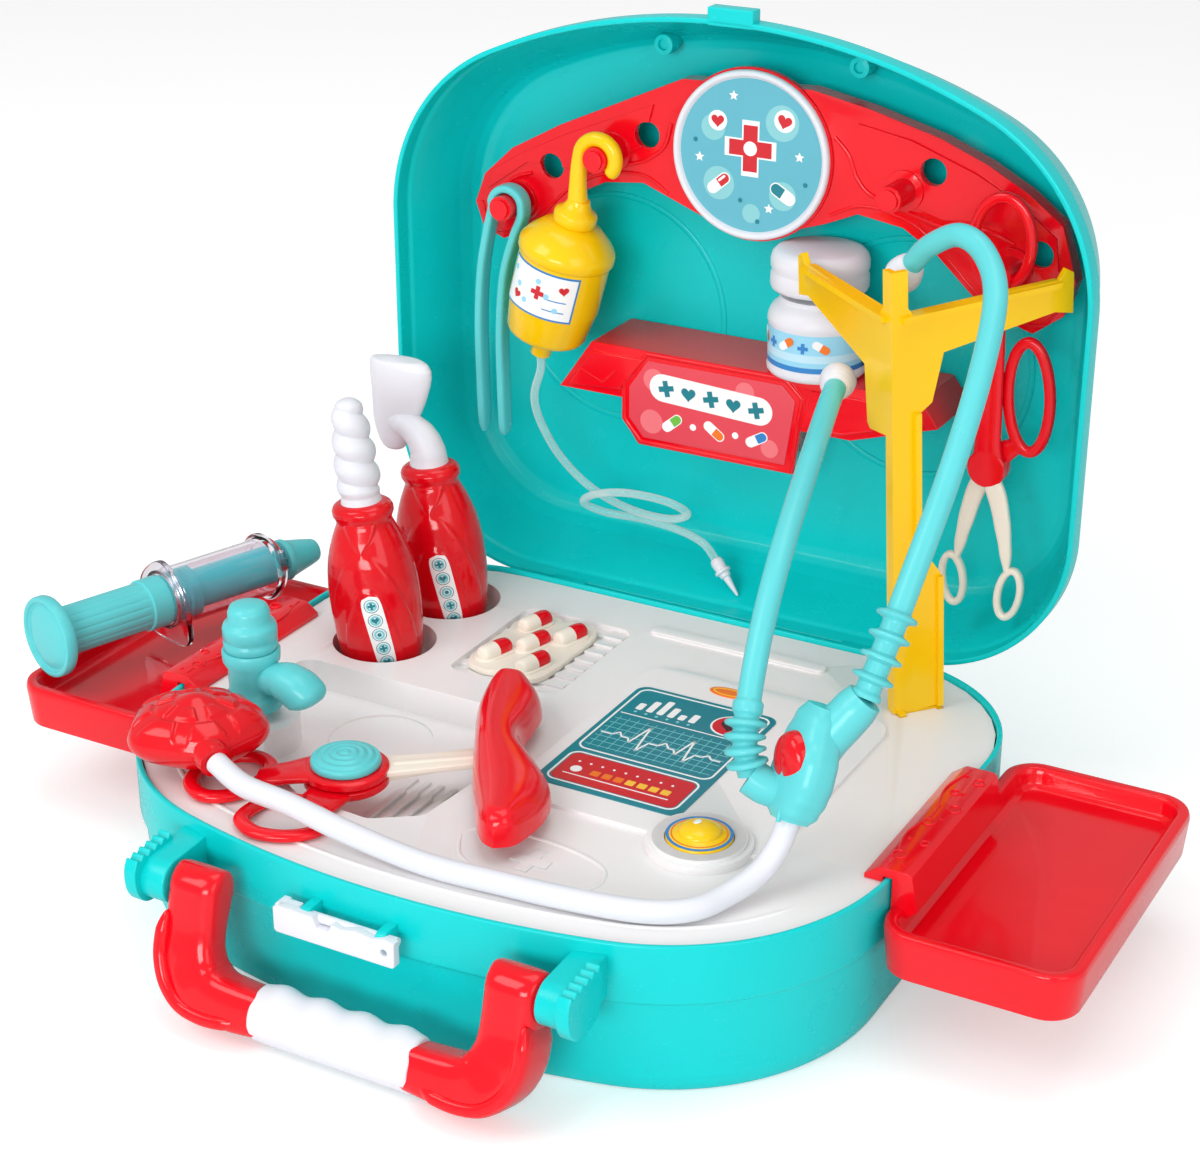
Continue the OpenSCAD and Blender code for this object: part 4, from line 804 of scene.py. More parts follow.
@dataclass
class BaseShell:
    """The drafted tub with its rim band, handle lugs, latch pegs and hinge knuckles.

    Attributes:
        band: Height of the band under the rim.
        lug_in: X of a lug's inner face.
        lug_w: Width of a lug.
        pivot: Y and Z of the handle's pivot.
    """

    band: float = 23.0
    lug_in: float = 76.9
    lug_w: float = 15.0
    pivot: tuple[float, float] = HANDLE_PIVOT

    def tub(self) -> Shape:
        """Shape the tub: outer wall up, over the rim, and down inside to the floor."""
        top = RIM - self.band
        outer = [(9, 0), (5.6, 0), (4.3, 3), (3.4, 7), (1.5, top - 1), (0, top), (0, RIM), (2.2, RIM),
                 (2.3, top), (5.6, 6), (8.2, 2.2), (12, 2.2)]
        return loft(CASE.rings(rounded_section(outer, 0.9, 4)))

    def lug(self) -> Shape:
        """Shape one lug: an arm that grows from the band and carries a wavy finger plate."""
        y, z = self.pivot
        t = np.linspace(0, 1, 73)
        top = np.column_stack([y + 10 - 19.4 * t, z + 11.2 - 2.0 * t + 0.75 * np.cos(2 * np.pi * 5 * t)])
        under = spline([(y - 9.4, z + 9.9), (y - 11.4, z + 5), (y - 10.6, z - 3), (y - 6, z - 8.6), (y + 2, z - 9.4),
                        (y + 9, z - 6.6), (y + 11.6, z + 1), (y + 11.4, z + 8), (y + 10, z + 11.9)], 8)[1:-1]
        cheek = plate([np.vstack([top, under])], self.lug_w * 0.34, 0.35)
        arm = plate([np.vstack([[[-114, z - 7.4], [-114, z + 9.6]], arc((y, z), 8.7, 96, 262, 20)])], self.lug_w * 0.8,
                    0.7)
        pin = rod_x(4, 14, (self.lug_in - 14, y, z), 64)
        return join(moved(arm, STAND, (self.lug_in, 0, 0)),
                    moved(cheek, STAND, (self.lug_in + self.lug_w * 0.66, 0, 0)), pin)

    def latch_peg(self, x: float) -> Shape:
        """Shape one of the two pegs on which the latch swings."""
        loop = np.vstack([[[-127.6, 52], [-127.6, 45]], arc(LATCH_AXIS, 3, 250, 90, 16)])
        return moved(plate([loop[::-1]], 4, 0.4), STAND, (x - 2, 0, 0))

    def knuckles(self) -> Shape:
        """Shape the base's hinge knuckles."""
        y, z = HINGE
        parts = []
        for x in (-82.6, -61.7, 57.4, 78.3):
            tube = lathe([(1.3, 0), (2.4, 0), (2.4, 4.3), (1.3, 4.3), (1.3, 0)], 32)
            parts.append(moved(tube, turned("Y", 90), (x, y, z)))
            parts.append(moved(plate([rounded((-0.9, -2.4), (0.3, 2.4), 0.3)], 4.3, 0.2), STAND, (x, y - 0.6, z)))
        return join(*parts)

    def build(self) -> None:
        """Make the shell of the base."""
        piece("base_tub", join(self.tub(), both(self.lug()), self.latch_peg(-22), self.latch_peg(10), self.knuckles()),
              "base", TEAL, "base_shell", KEEN)


@dataclass
class LidShell:
    """The lid: a stepped shell with a light rim, pressed ridges, bosses and its latch tab.

    Attributes:
        depth: Depth of the lid.
        outline: Its outline, seen closed.
    """

    depth: float = 48.0
    outline: Outline = Outline(158.4, -127.6, 0.74 * 361, 0.91 * 91, 66.0)

    def shell(self) -> Shape:
        """Shape the lid closed, outer wall first, then the inner one, and stand it up."""
        d = self.depth
        section = [(22, d), (19, d), (15, d - 1.2), (12, d - 4.4), (9.4, d - 11), (6, 26), (1.2, 10), (0, 9), (0, 0),
                   (2.2, 0), (2.2, 8), (3.4, 10), (8.2, 26), (11.6, d - 12), (14.6, d - 6), (17.4, d - 3.1),
                   (21, d - 2.2), (26, d - 2.2)]
        shape = loft(self.outline.rings(rounded_section(section, 0.8, 4))[::-1])
        return moved(shape, turned("X", -90), (0, LID_Y, LID_Z + 130))

    def ridges(self) -> Shape:
        """Shape the two round ridges pressed into the panel."""
        parts = []
        for x in (-70, 70):
            g = np.linspace(0, 2 * np.pi, 97)[:-1]
            s = np.linspace(0, np.pi, 7)
            r = 51.2 + 1.5 * np.cos(s)[:, None] * np.ones_like(g)
            y = np.broadcast_to(LID_IN + 0.2 - 0.9 * np.sin(s)[:, None], r.shape)
            rings = np.stack([x + r * np.cos(g), y, LID_Z + 116 + r * np.sin(g)], -1)
            parts.append(loft(rings, caps=False))
        return join(*parts)

    def bosses(self) -> Shape:
        """Shape the screw bosses along the wall and the tab for the latch."""
        parts = []
        for x, h in ((-96, 68), (-44, 118), (44, 118), (96, 68)):
            z = LID_Z + 128.5 + h * 0.92
            boss = lathe([(0, 0), (2.6, 0), (4.6, 5.4), (4.2, 12), (2.4, 12.4), (2.2, 10.5), (0, 10.5)], 32)
            parts.append(moved(boss, turned("X", 90), (x, LID_IN + 0.5, z)))
        tab = slab([rounded((-7, LID_Z + 255), (13, LID_Z + 262.3), 0.6)], LID_Y, 7, 0.6)
        return join(*parts, tab)

    def hinges(self) -> Shape:
        """Shape the webs and stub pins of the hinges."""
        y, z = HINGE
        loop = np.vstack([[[LID_Y + 5, LID_Z + 1], [LID_Y + 5, LID_Z + 0.2], [LID_Y + 0.8, LID_Z - 2.4]],
                          arc((y, z), 2.4, 300, 60, 24), [[LID_Y + 1.2, LID_Z + 2.4]]])
        web = moved(plate([loop[::-1]], 16, 0.2), STAND, (62, 0, 0))
        return both(join(web, rod_x(1.2, 24.4, (57.8, y, z))))

    def build(self) -> None:
        """Make the shell of the lid."""
        piece("lid_body", join(self.shell(), self.ridges(), self.bosses(), self.hinges()), "lid", TEAL, "lid_shell",
              KEEN)


# ---------------------------------------------------------------- cords


IV_AT = vec(-81, 145.9, 194)
IV_LEAN = 15.5
IV_DOWN = vec(math.sin(math.radians(IV_LEAN)), 0, math.cos(math.radians(IV_LEAN)))
DRIP_ROUTE = spline([IV_AT - 36 * IV_DOWN, (-90.6, 145.9, 152), (-94, 146, 140), (-92, 147, 128), (-84, 149, 113),
                     (-72, 151, 101), (-58, 152, 94), (-42, 152, 91), (-27, 151, 92), (-19, 149, 97), (-28, 146, 102),
                     (-46, 144, 103), (-62, 145, 99), (-71, 149, 92), (-64, 156, 86), (-46, 159, 85), (-28, 158, 84),
                     (-14, 155, 81.6), (-7, 153, 76.2)], 3)
HOSE_ROUTE = spline([(-87, -100, 75), (-71, -105, 72), (-50, -107, 71.2), (-22, -109, 68), (10, -109, 64.6),
                     (40, -107, 64.5), (68, -104, 64.5), (92, -99, 64.6), (106, -90, 64.6), (113, -77, 65.6),
                     (119, -64, 69.5), (121.8, -55.6, 76), (123, -50, 84)], 4)


@dataclass
class Cord:
    """A free tube along its route.

    Attributes:
        name: Name of the piece.
        route: Points of its middle line, as in the part.
        diameter: Outer diameter.
        body: Body that it rides on.
        node: Node that it stands for.
        look: Its finish.
        far: What its far end is. Not used.
        mates: Pieces on its far end. Not used.
    """

    name: str
    route: Array
    diameter: float
    body: str
    node: str
    look: Finish
    far: str = "object"
    mates: tuple = ()

    def length(self) -> float:
        """Return the length of the route in metres."""
        return float(np.linalg.norm(np.diff(self.route, axis=0), axis=1).sum()) * MM

    def build(self) -> bpy.types.Object:
        path = spline(self.route, 3)
        obj = piece(self.name, along(path, self.diameter / 2, self.diameter / 2, 20), self.body, self.look, self.node,
                    SOFT)
        self.length()
        return obj


# ---------------------------------------------------------------- printed shapes


def stroke(points: Sequence, width: float) -> Array:
    """Widen a line into a closed counterclockwise loop.

    Formula: each point moved half the width to both sides along the line's own normal.

    Args:
        points: Points of the line in the plane.
        width: Width of the line.

    Returns:
        The loop's points.
    """
    p = np.asarray(points, float)
    t = unit(np.vstack([p[1:], p[-1:]]) - np.vstack([p[:1], p[:-1]]))
    n = np.stack([-t[:, 1], t[:, 0]], 1) * width / 2
    return np.vstack([p - n, (p + n)[::-1]])


def heart(centre: Sequence, size: float, tilt: float = 0) -> Array:
    """Return a heart's outline: x = sin^3 g, y from four cosines, turned by tilt in degrees."""
    g = np.radians(np.arange(0, 360, 7.5))[::-1]
    y = 13 * np.cos(g) - 5 * np.cos(2 * g) - 2 * np.cos(3 * g) - np.cos(4 * g)
    p = np.column_stack([16 * np.sin(g) ** 3, y])
    return tilted(p / 16 * size, tilt, centre)


def plus(centre: Sequence, size: float, tilt: float = 0) -> Array:
    """Return a first-aid cross's outline, its arms a third of its size wide."""
    a, b = size, size / 3
    p = np.array([(b, -a), (b, -b), (a, -b), (a, b), (b, b), (b, a), (-b, a), (-b, b), (-a, b), (-a, -b), (-b, -b),
                  (-b, -a)])
    return tilted(p, tilt, centre)


def star(centre: Sequence, size: float, tilt: float = 0) -> Array:
    """Return a five-pointed star's outline."""
    g = np.radians(np.arange(10) * 36 + 90 + tilt)
    r = np.where(np.arange(10) % 2 == 0, size, 0.46 * size)
    return np.column_stack([r * np.cos(g), r * np.sin(g)]) + np.asarray(centre, float)


def tablet(centre: Sequence, length: float, width: float, tilt: float = 0, half: int = 0) -> Array:
    """Return a capsule's outline in the plane, or with half = 1 or -1 the one end of it."""
    k, r = (length - width) / 2, width / 2
    right = arc((k, 0), r, -90, 90, 12) if half >= 0 else [[0, -r], [0, r]]
    left = arc((-k, 0), r, 90, 270, 12) if half <= 0 else [[0, r], [0, -r]]
    p = np.vstack([right, left] if half >= 0 else [left, right])
    return tilted(p, tilt, centre)


PRINT_DEPTH = 0.12  # thickness of one printed shape
PRINT_STEP = 0.05  # height of one layer of ink over the next
STICKER = 0.14  # thickness of a shape stuck on a round side


@dataclass
class Print:
    """Printed shapes on a flat face, one piece for each ink.

    Attributes:
        name: Name that its pieces start with.
        body: Body that it rides on.
        place: Transform of the face, its Z looking out.
    """

    name: str
    body: str
    place: Matrix

    def lay(self, look: Finish, level: int, *shapes: Sequence[Array]) -> None:
        """Lay shapes of one ink.

        Args:
            look: The ink.
            level: Layer that it lies on.
            shapes: Each an outer loop, or a list of an outer loop and its holes.
        """
        flat = [plate(s if isinstance(s, list) else [s], PRINT_DEPTH, 0.0) for s in shapes]
        name = f"{self.name}_{look.name}_{level}"
        lifted = moved(join(*flat), by=(0, 0, PRINT_STEP * level - PRINT_DEPTH / 2))
        piece(name, moved(lifted, self.place), self.body, look, "", FIRM)


def sticker(loop: Array, place: Matrix) -> Shape:
    """Return one flat printed shape at the place of a patch on a round side."""
    return moved(plate([loop], STICKER, 0.0), place)


def upright(x: float, y: float, z: float) -> Matrix:
    """Return the transform of a face that looks forwards, with its origin at a point."""
    return Matrix.Translation((x, y, z)) @ turned("X", 90)


# ---------------------------------------------------------------- deck


@dataclass
class Monitor:
    """The toy monitor's printed label: a red heart light, a pulse line on a grid, and a strip of lamps.

    Attributes:
        low: Its front left corner.
        high: Its back right corner.
        top: Height of its face.
    """

    low: tuple[float, float] = (9.0, -33.0)
    high: tuple[float, float] = (71.0, 55.0)
    top: float = 62.0

    def pulse(self) -> Array:
        """Return the pulse line's points, in millimetres from the low corner."""
        beat = [(5, 45), (10, 45), (12, 48), (14, 45), (17, 45), (18.6, 42), (21, 57), (24, 37), (26, 45), (30, 45),
                (32, 48.4), (34.6, 45), (37, 45), (38.8, 41.6), (41, 55.4), (44, 38), (46, 45), (49, 45), (51, 47.4),
                (53, 45), (57, 45)]
        return np.array(beat)

    def build(self) -> None:
        """Make the plate and its inks."""
        (x, y), (x1, y1) = self.low, self.high
        w, h = x1 - x, y1 - y
        body = moved(plate([rounded((0, 0), (w, h), 5, 8)], 0.4, 0.12), by=(x, y, self.top - 0.4))
        piece("monitor_plate", body, "base", INK_TEAL, "monitor_label")
        ink_on = Print("monitor", "base", Matrix.Translation((x, y, self.top)))
        borders = [[rounded((2, 29.5), (w - 2, h - 2), 4.4, 8), rounded((2.8, 30.3), (w - 2.8, h - 2.8), 3.7, 8)[::-1]],
                   [rounded((3, 3), (w - 3, 27), 4.4, 8), rounded((3.8, 3.8), (w - 3.8, 26.2), 3.7, 8)[::-1]]]
        ink_on.lay(INK_WHITE, 1, *borders)
        lines = [stroke([(4, v), (w - 4, v)], 0.22) for v in np.arange(34, 61, 4.0)]
        lines += [stroke([(u, 33), (u, 60)], 0.22) for u in np.arange(6, 58, 4.0)]
        ink_on.lay(INK_PALE, 1, *lines)
        beat = self.pulse()
        ink_on.lay(INK_WHITE, 2, *[stroke(beat[i:i + 2], 0.8) for i in range(len(beat) - 1)], circle((48, 73), 8.4),
                   stroke([(4, 63), (w - 4, 63)], 0.5))
        ink_on.lay(INK_RED, 1, rounded((4.4, 4.4), (w - 4.4, 25.6), 3.2, 8))
        ink_on.lay(INK_RED, 3, circle((48, 73), 7.6))
        ink_on.lay(INK_DARK, 4, heart((48, 73), 4.8))
        ink_on.lay(INK_WHITE, 3, *[rounded((7.5 + 4.7 * i, 68), (10.4 + 4.7 * i, 71 + 1.3 * k), 0.8, 3)
                                   for i, k in enumerate((2, 5, 7, 4, 1, 3))])
        ink_on.lay(INK_PALE, 3, *[circle((8.95 + 4.7 * i, 66), 0.7, 16) for i in range(6)])
        ink_on.lay(INK_GOLD, 3, *[rounded((33 + 5 * i, 12), (36.6 + 5 * i, 15.6), 0.4, 2) for i in range(4)])
        ink_on.lay(INK_ORANGE, 3, *[rounded((18 + 5 * i, 12), (21.6 + 5 * i, 15.6), 0.4, 2) for i in range(3)])
        ink_on.lay(INK_WHITE, 4, *[circle((9.8 + 5 * i, 19.6), 0.55, 14) for i in range(9)],
                   stroke([(8, 9.4), (53, 9.4)], 0.5), circle((11.4, 13.8), 2.3, 24))
        blank = moved(plate([ellipse((0, 0), 8.4, 3.9)], 0.4, 0.12), by=(43, 66, self.top - 0.4))
        piece("deck_oval", blank, "base", INK_ORANGE)
        oval = Print("deck_oval", "base", Matrix.Translation((43, 66, self.top)))
        oval.lay(INK_GOLD, 1, [ellipse((0, 0), 6.8, 2.9), ellipse((0, 0), 6.0, 2.3)[::-1]])


@dataclass
class DeckRelief:
    """Raised lines and soft shapes moulded on the deck.

    Attributes:
        top: Height of the deck.
    """

    top: float = DECK_Z

    def ridge(self, points: Sequence, width: float, height: float, steps: int = 6) -> Shape:
        """Run a low rounded ridge along points on the deck.

        Args:
            points: Points in the plane.
            width: Half width of the ridge.
            height: Height of the ridge.
            steps: Steps between the points.

        Returns:
            The vertices and faces.
        """
        path = spline([(x, y, self.top) for x, y in points], steps)
        fade = np.minimum(1, np.minimum(np.arange(len(path)), np.arange(len(path))[::-1]) / 4 + 0.05)
        return along(path, width * fade, height * fade, 12)

    def build(self) -> None:
        """Make the raised lines, the ring round the button, the bay's steps, the basin's slats and the cross."""
        front = CASE.loop(15)
        front = front[front[:, 1] < -60]
        front = front[np.argsort(np.arctan2(front[:, 1] - 230, front[:, 0]))]
        shapes = [self.ridge(front[::3], 1.0, 0.55, 3)]
        shapes.append(moved(plate([rounded((-13, 102), (68, 109), 3.4, 8)], 1.5, 0.7), by=(0, 0, self.top)))
        lip = [(19.8, 0), (19.8, 2.6), (19.4, 3.1), (18.2, 3.3), (17.5, 3.3), (17.5, 4.2), (17.2, 4.6), (12.8, 4.6),
               (12.8, 0), (19.8, 0)]
        shapes.append(moved(lathe(lip, 72), by=(*BUTTON_AT, self.top)))
        shapes.append(self.ridge([(6, -78), (14, -92), (32, -98), (52, -96), (66, -88), (64, -76), (50, -70), (30, -68),
                                  (12, -70), (6, -78)], 1.0, 0.6))
        for k in range(8):
            y, z = 34.2 + 8.3 * k, self.top
            wedge = plate([np.array([(y, z - 3.6), (y + 8.1, z - 3.6), (y + 8.1, z - 1.9), (y, z - 0.5)])], 9.4, 0.3)
            shapes.append(moved(wedge, STAND, (-29.6, 0, 0)))
        for k in range(6):
            slat = plate([rounded((-44 + 6 * k, -100), (-40.4 + 6 * k, -44), 0.8, 3)], 2.4, 0.6)
            shapes.append(moved(slat, by=(0, 0, self.top - 13 - 0.6)))
        shapes.append(moved(plate([plus((38, -83), 7.5)], 0.6, 0.25), by=(0, 0, self.top)))
        piece("deck_relief", join(*shapes), "base", DECK, "", FIRM)


@dataclass
class Button:
    """The press button: a domed cap with printed rings and a white disc of painted highlight, its stem and snap end.

    Attributes:
        at: Its place on the deck.
        radius: Radius of its cap.
        boss: Height of the boss round it.
    """

    at: tuple[float, float] = BUTTON_AT
    radius: float = 12.4
    boss: float = 4.6

    def rim_ring(self, low: float, high: float, lift: float, z: float) -> Shape:
        """Shape a flat ring between two radii, lying on the cap."""
        return lathe([(low, z), (high, z), (high, z + lift), (low, z + lift * 1.4), (low, z)], 72)

    def build(self) -> None:
        """Make the cap with its dome and rings, and the white disc of painted highlight on the dome."""
        z, r = DECK_Z + self.boss, self.radius
        dome = [(r - 4.4 - 8 * (1 - math.cos(a)), z + 1.9 + 3.3 * math.sin(a)) for a in np.linspace(0, math.pi / 2, 12)]
        cap = [(0.01, 54), (3, 54), (3, 62), (r, 62), (r, z), (r - 0.2, z + 0.6), (r - 0.8, z + 1), (r - 3.4, z + 1.5),
               *dome, (0, z + 5.2)]
        stem = [(0, DECK_Z - 16), (4, DECK_Z - 15.8), (4, DECK_Z - 14.2), (3, DECK_Z - 14.2), (3, 62), (0, 62)]
        by = (*self.at, 0)
        piece("press_cap", moved(join(lathe(cap, 72), lathe(stem, 32)), by=by), "button", BUTTON, "press_button", FIRM)
        piece("press_ring_blue", moved(self.rim_ring(r - 1.9, r - 0.1, 0.12, z + 0.95), by=by), "button", INK_BLUE)
        piece("press_ring_orange", moved(self.rim_ring(r - 4.6, r - 1.9, 0.3, z + 1.0), by=by), "button", INK_ORANGE)
        # A white disc laid on the dome off its middle, tilted towards the key lamp: a painted highlight, not a print.
        painted_highlight = moved(lathe([(0, 0), (1.9, 0), (1.6, 0.25), (0, 0.3)], 24),
                      facing((-0.25, 0.05, 1), (self.at[0] - 1.6, self.at[1] + 1, z + 4.95)))
        piece("press_glint", painted_highlight, "button", INK_WHITE)


# ---------------------------------------------------------------- handle and latch


@dataclass
class Handle:
    """The carry handle: two boxy arms with swept elbows, and a white grip with finger bumps.

    Attributes:
        span: Distance between the arms' middles.
        reach: Distance from the pivot to the grip's middle.
        lean: Lean of the handle in degrees.
        pivot: Y and Z of the pivot.
        grip: Length of the grip.
        bump: Height of the finger bumps.
    """

    span: float = 132.0
    reach: float = 37.0
    lean: float = 19.0
    pivot: tuple[float, float] = HANDLE_PIVOT
    grip: float = 67.0
    bump: float = 1.5

    def place(self) -> Matrix:
        """Return the transform from the handle's own frame, pivot at zero and grip straight down."""
        return Matrix.Translation((0, *self.pivot)) @ turned("X", -self.lean)

    def arm(self) -> Shape:
        """Shape the right arm: a rounded top round the pivot, then the elbow and the neck of the grip."""
        a = self.span / 2
        top = np.array([8.6, 8.35, 7.6, 6.0, 3.4, 0.0])
        drop = [(a, 0, z) for z in top]
        bend = spline([(a, 0, 0), (a, 0, -13), (a - 1, 0, -25), (a - 7, 0, -34), (a - 18, 0, -self.reach),
                       (self.grip / 2 - 4, 0, -self.reach)], 7)[1:]
        path = np.vstack([drop, bend])
        high = np.concatenate([np.sqrt(np.maximum(8.7**2 - top**2, 0)) + 0.3,
                               stretch([8.6, 7.6, 8.0, 9.0, 8.8, 8.2], len(bend))])
        wide = np.concatenate([[8.2, 9.2, 9.9, 10.3, 10.5, 10.5],
                               stretch([10.5, 10.4, 11.2, 11.2, 9.4, 8.4], len(bend))])
        return along(path, wide, high, 48, FORWARD, 1.6)

    def sweep(self) -> Shape:
        """Shape the raised leaf round the outer elbow, proud of the arm on its front, back and outside."""
        a = self.span / 2
        path = spline([(a + 8.2, 0, -9), (a + 9.0, 0, -17), (a + 8.4, 0, -26), (a + 4.6, 0, -35), (a - 2.6, 0, -41.4),
                       (a - 12, 0, -43.4), (a - 21, 0, -42.8), (a - 27, 0, -41)], 9)
        s = np.linspace(0, 1, len(path))
        ends = np.clip(np.minimum(s, 1 - s) / 0.13, 0, 1) ** 0.6
        return along(path, 0.5 + 2.7 * ends, 7.4 + 2.7 * ends, 40, FORWARD, 1.4)

    def bars(self) -> Shape:
        """Shape the grip: bumps on its upper side that fade round to the front, and rounded ends.

        Formula: r = end(s) (9.6 + bump wave(s) up(g) + 0.9 |sin g|^6), s from -1 to 1 along the grip, with
        wave(s) = 0.5 - 0.5 cos(4 pi s) and up(g) = max(0, sin g)^0.7.
        """
        s = np.sin(np.linspace(-1, 1, 161) * np.pi / 2)
        half = self.grip / 2
        x = half * s
        g = 2 * np.pi * np.arange(64) / 64
        end = np.minimum(1, 0.9 + 0.1 * np.sqrt(np.clip((1 - np.abs(s)) / 0.035, 0, 1)))
        wave = 0.5 + 0.5 * np.cos(np.pi * 4 * s + np.pi)
        lift = np.maximum(0, np.sin(g)) ** 0.7
        r = end[:, None] * (9.6 + self.bump * wave[:, None] * lift + 0.9 * np.abs(np.sin(g)) ** 6)
        rings = np.stack([np.broadcast_to(x[:, None], r.shape), -r * np.cos(g), r * np.sin(g) - self.reach], -1)
        top = (end * (9.9 + self.bump * wave))[9:-9] - self.reach + 0.05
        seam = np.stack([x[9:-9], np.full(len(top), -0.2), top], 1)
        return join(loft(rings), along(seam, 0.18, 0.18, 8))

    def build(self) -> None:
        """Make the arms and the grip."""
        core = rod_x(6, self.grip + 6, (-self.grip / 2 - 3, 0, -self.reach))
        arms = join(both(join(self.arm(), self.sweep())), core)
        piece("handle_arms", moved(arms, self.place()), "handle", RED, "handle_frame", ROUND)
        piece("grip_bumps", moved(self.bars(), self.place()), "handle", WHITE, "handle_grip", ROUND)


@dataclass
class Latch:
    """The white swinging latch: a plate with a wavy, notched top edge and a small hole at its right end.

    Attributes:
        left: X of its left end.
        length: Its length.
        axis: Y and Z of the pins' axis.
    """

    left: float = -34.0
    length: float = 51.0
    axis: tuple[float, float] = LATCH_AXIS

    def build(self) -> None:
        """Make the latch with its pin."""
        y, z = self.axis
        x0, x1 = self.left, self.left + self.length
        notch = [(-9, 1.6), (-10.6, -1.6), (-15.4, -1.6), (-17, 2.2)]
        top = [(x1, 1.8), (x1 - 4, 2.4), (x1 - 9, 1.2), (x1 - 16, 2.2), (x1 - 22, 0.8), *notch, (x0 + 8, 2.6),
               (x0 + 2, 2.6), (x0, 1.6)]
        loop = np.vstack([[(x0, -7.4), (x0 + 1, -8.4), (x1 - 1, -8.4), (x1, -7.4)], top]) + vec(0, z)
        face = slab([loop, circle((x1 - 4.4, z - 3), 1.3, 24)[::-1]], y - 4.3, 3.6, 0.5)
        hook = slab([rounded((x0, z - 4), (x0 + 3.4, z + 2.6), 0.8)], y - 3, 6.4, 0.6)
        pin = rod_x(1.8, 49, (-33, y, z), 24)
        back = slab([rounded((x0 + 3, z - 2), (x0 + 9, z + 2.4), 0.6)], y - 1, 3.4, 0.3)
        piece("latch_plate", join(face, hook, pin, back), "latch", WHITE, "front_latch", FIRM)


# ---------------------------------------------------------------- trays and tap


@dataclass
class Tray:
    """A side tray: a rounded dish whose strap hooks over the case's rim, with round relief on the strap.

    Attributes:
        inner: X of the dish's inner edge.
        width: Width of the dish.
        mid: Y of its middle.
        length: Length along the case.
        rim: Height of its rim.
        height: Height of its wall.
        deep: Depth of its dish.
        strap: Y of the strap's middle, and its length.
    """

    inner: float = 156.6
    width: float = 74.0
    mid: float = 18.5
    length: float = 143.0
    rim: float = 52.0
    height: float = 19.0
    deep: float = 8.0
    strap: tuple[float, float] = (6.5, 84.0)

    def dish(self) -> Shape:
        """Shape the dish: underside, wall with its rounded rim, and the sunk floor."""
        z, foot, floor = self.rim, self.rim - self.height, self.rim - self.deep
        section = [(12, floor - 2.2), (5.2, floor - 2.2), (5.4, foot), (3.4, foot), (1.6, foot + 0.8), (0.2, z - 2.4),
                   (0.8, z - 0.3), (1.6, z), (3.9, z), (4.9, z - 0.5), (5.6, z - 2), (6.8, floor + 1.6), (8.8, floor),
                   (14, floor)]
        loop = rounded((self.inner, self.mid - self.length / 2), (self.inner + self.width, self.mid + self.length / 2),
                       14, 10)
        section = rounded_section(section, 0.7, 3)
        return loft([np.column_stack([inset(loop, o), np.full(len(loop), h)]) for o, h in section])

    def hook(self) -> Shape:
        """Shape the strap that bends over the rim."""
        y, n = self.strap
        deck, rim, edge = FLAT_Z, RIM, CASE.half_w
        loop = np.array([(edge - 10, deck), (edge - 2.7, deck), (edge - 2.7, rim + 0.4), (self.inner, rim + 0.4),
                         (self.inner, self.rim - 6), (self.inner + 4, self.rim - 6), (edge + 10.5, self.rim - 0.6),
                         (edge + 8, rim + 3), (edge + 6.5, rim + 4), (edge - 4, rim + 4), (edge - 5.4, rim + 3.2),
                         (edge - 10, deck + 1.6)])
        return slab([loop], y - n / 2, n, 0.4)

    def relief(self) -> Shape:
        """Shape the rings, dots and the wavy line raised on the strap."""
        z = 66.0
        parts = []
        for x, y, r in ((154.6, -24, 2.6), (159.6, -13, 1.6), (155, 2, 2.2), (160, 15, 2.6), (155.4, 27, 1.8),
                        (160.6, 38, 2.2)):
            path = np.column_stack([circle((x, y), r, 25), np.full(25, z)])
            parts.append(along(np.vstack([path, path[:1]]), 0.4, 0.5, 10))
        wave = np.linspace(-32, 46, 60)
        parts.append(along(np.column_stack([152.6 + 1.6 * np.sin(wave / 6), wave, np.full(60, z)]), 0.45, 0.45, 10))
        for x, y in ((158.4, -30), (153.6, -12), (158.2, 6), (153.6, 15), (158.4, 27), (154.6, 41)):
            parts.append(moved(lathe([(0, -0.4), (0.9, -0.4), (0.8, 0.35), (0, 0.6)], 20), by=(x, y, z)))
        return join(*parts)

    def build(self) -> None:
        """Make both trays."""
        right = join(self.dish(), self.hook(), self.relief())
        piece("tray_right", right, "right_tray", RED, "right_tray", FIRM)
        piece("tray_left", mirrored(right), "left_tray", RED, "left_tray", FIRM)


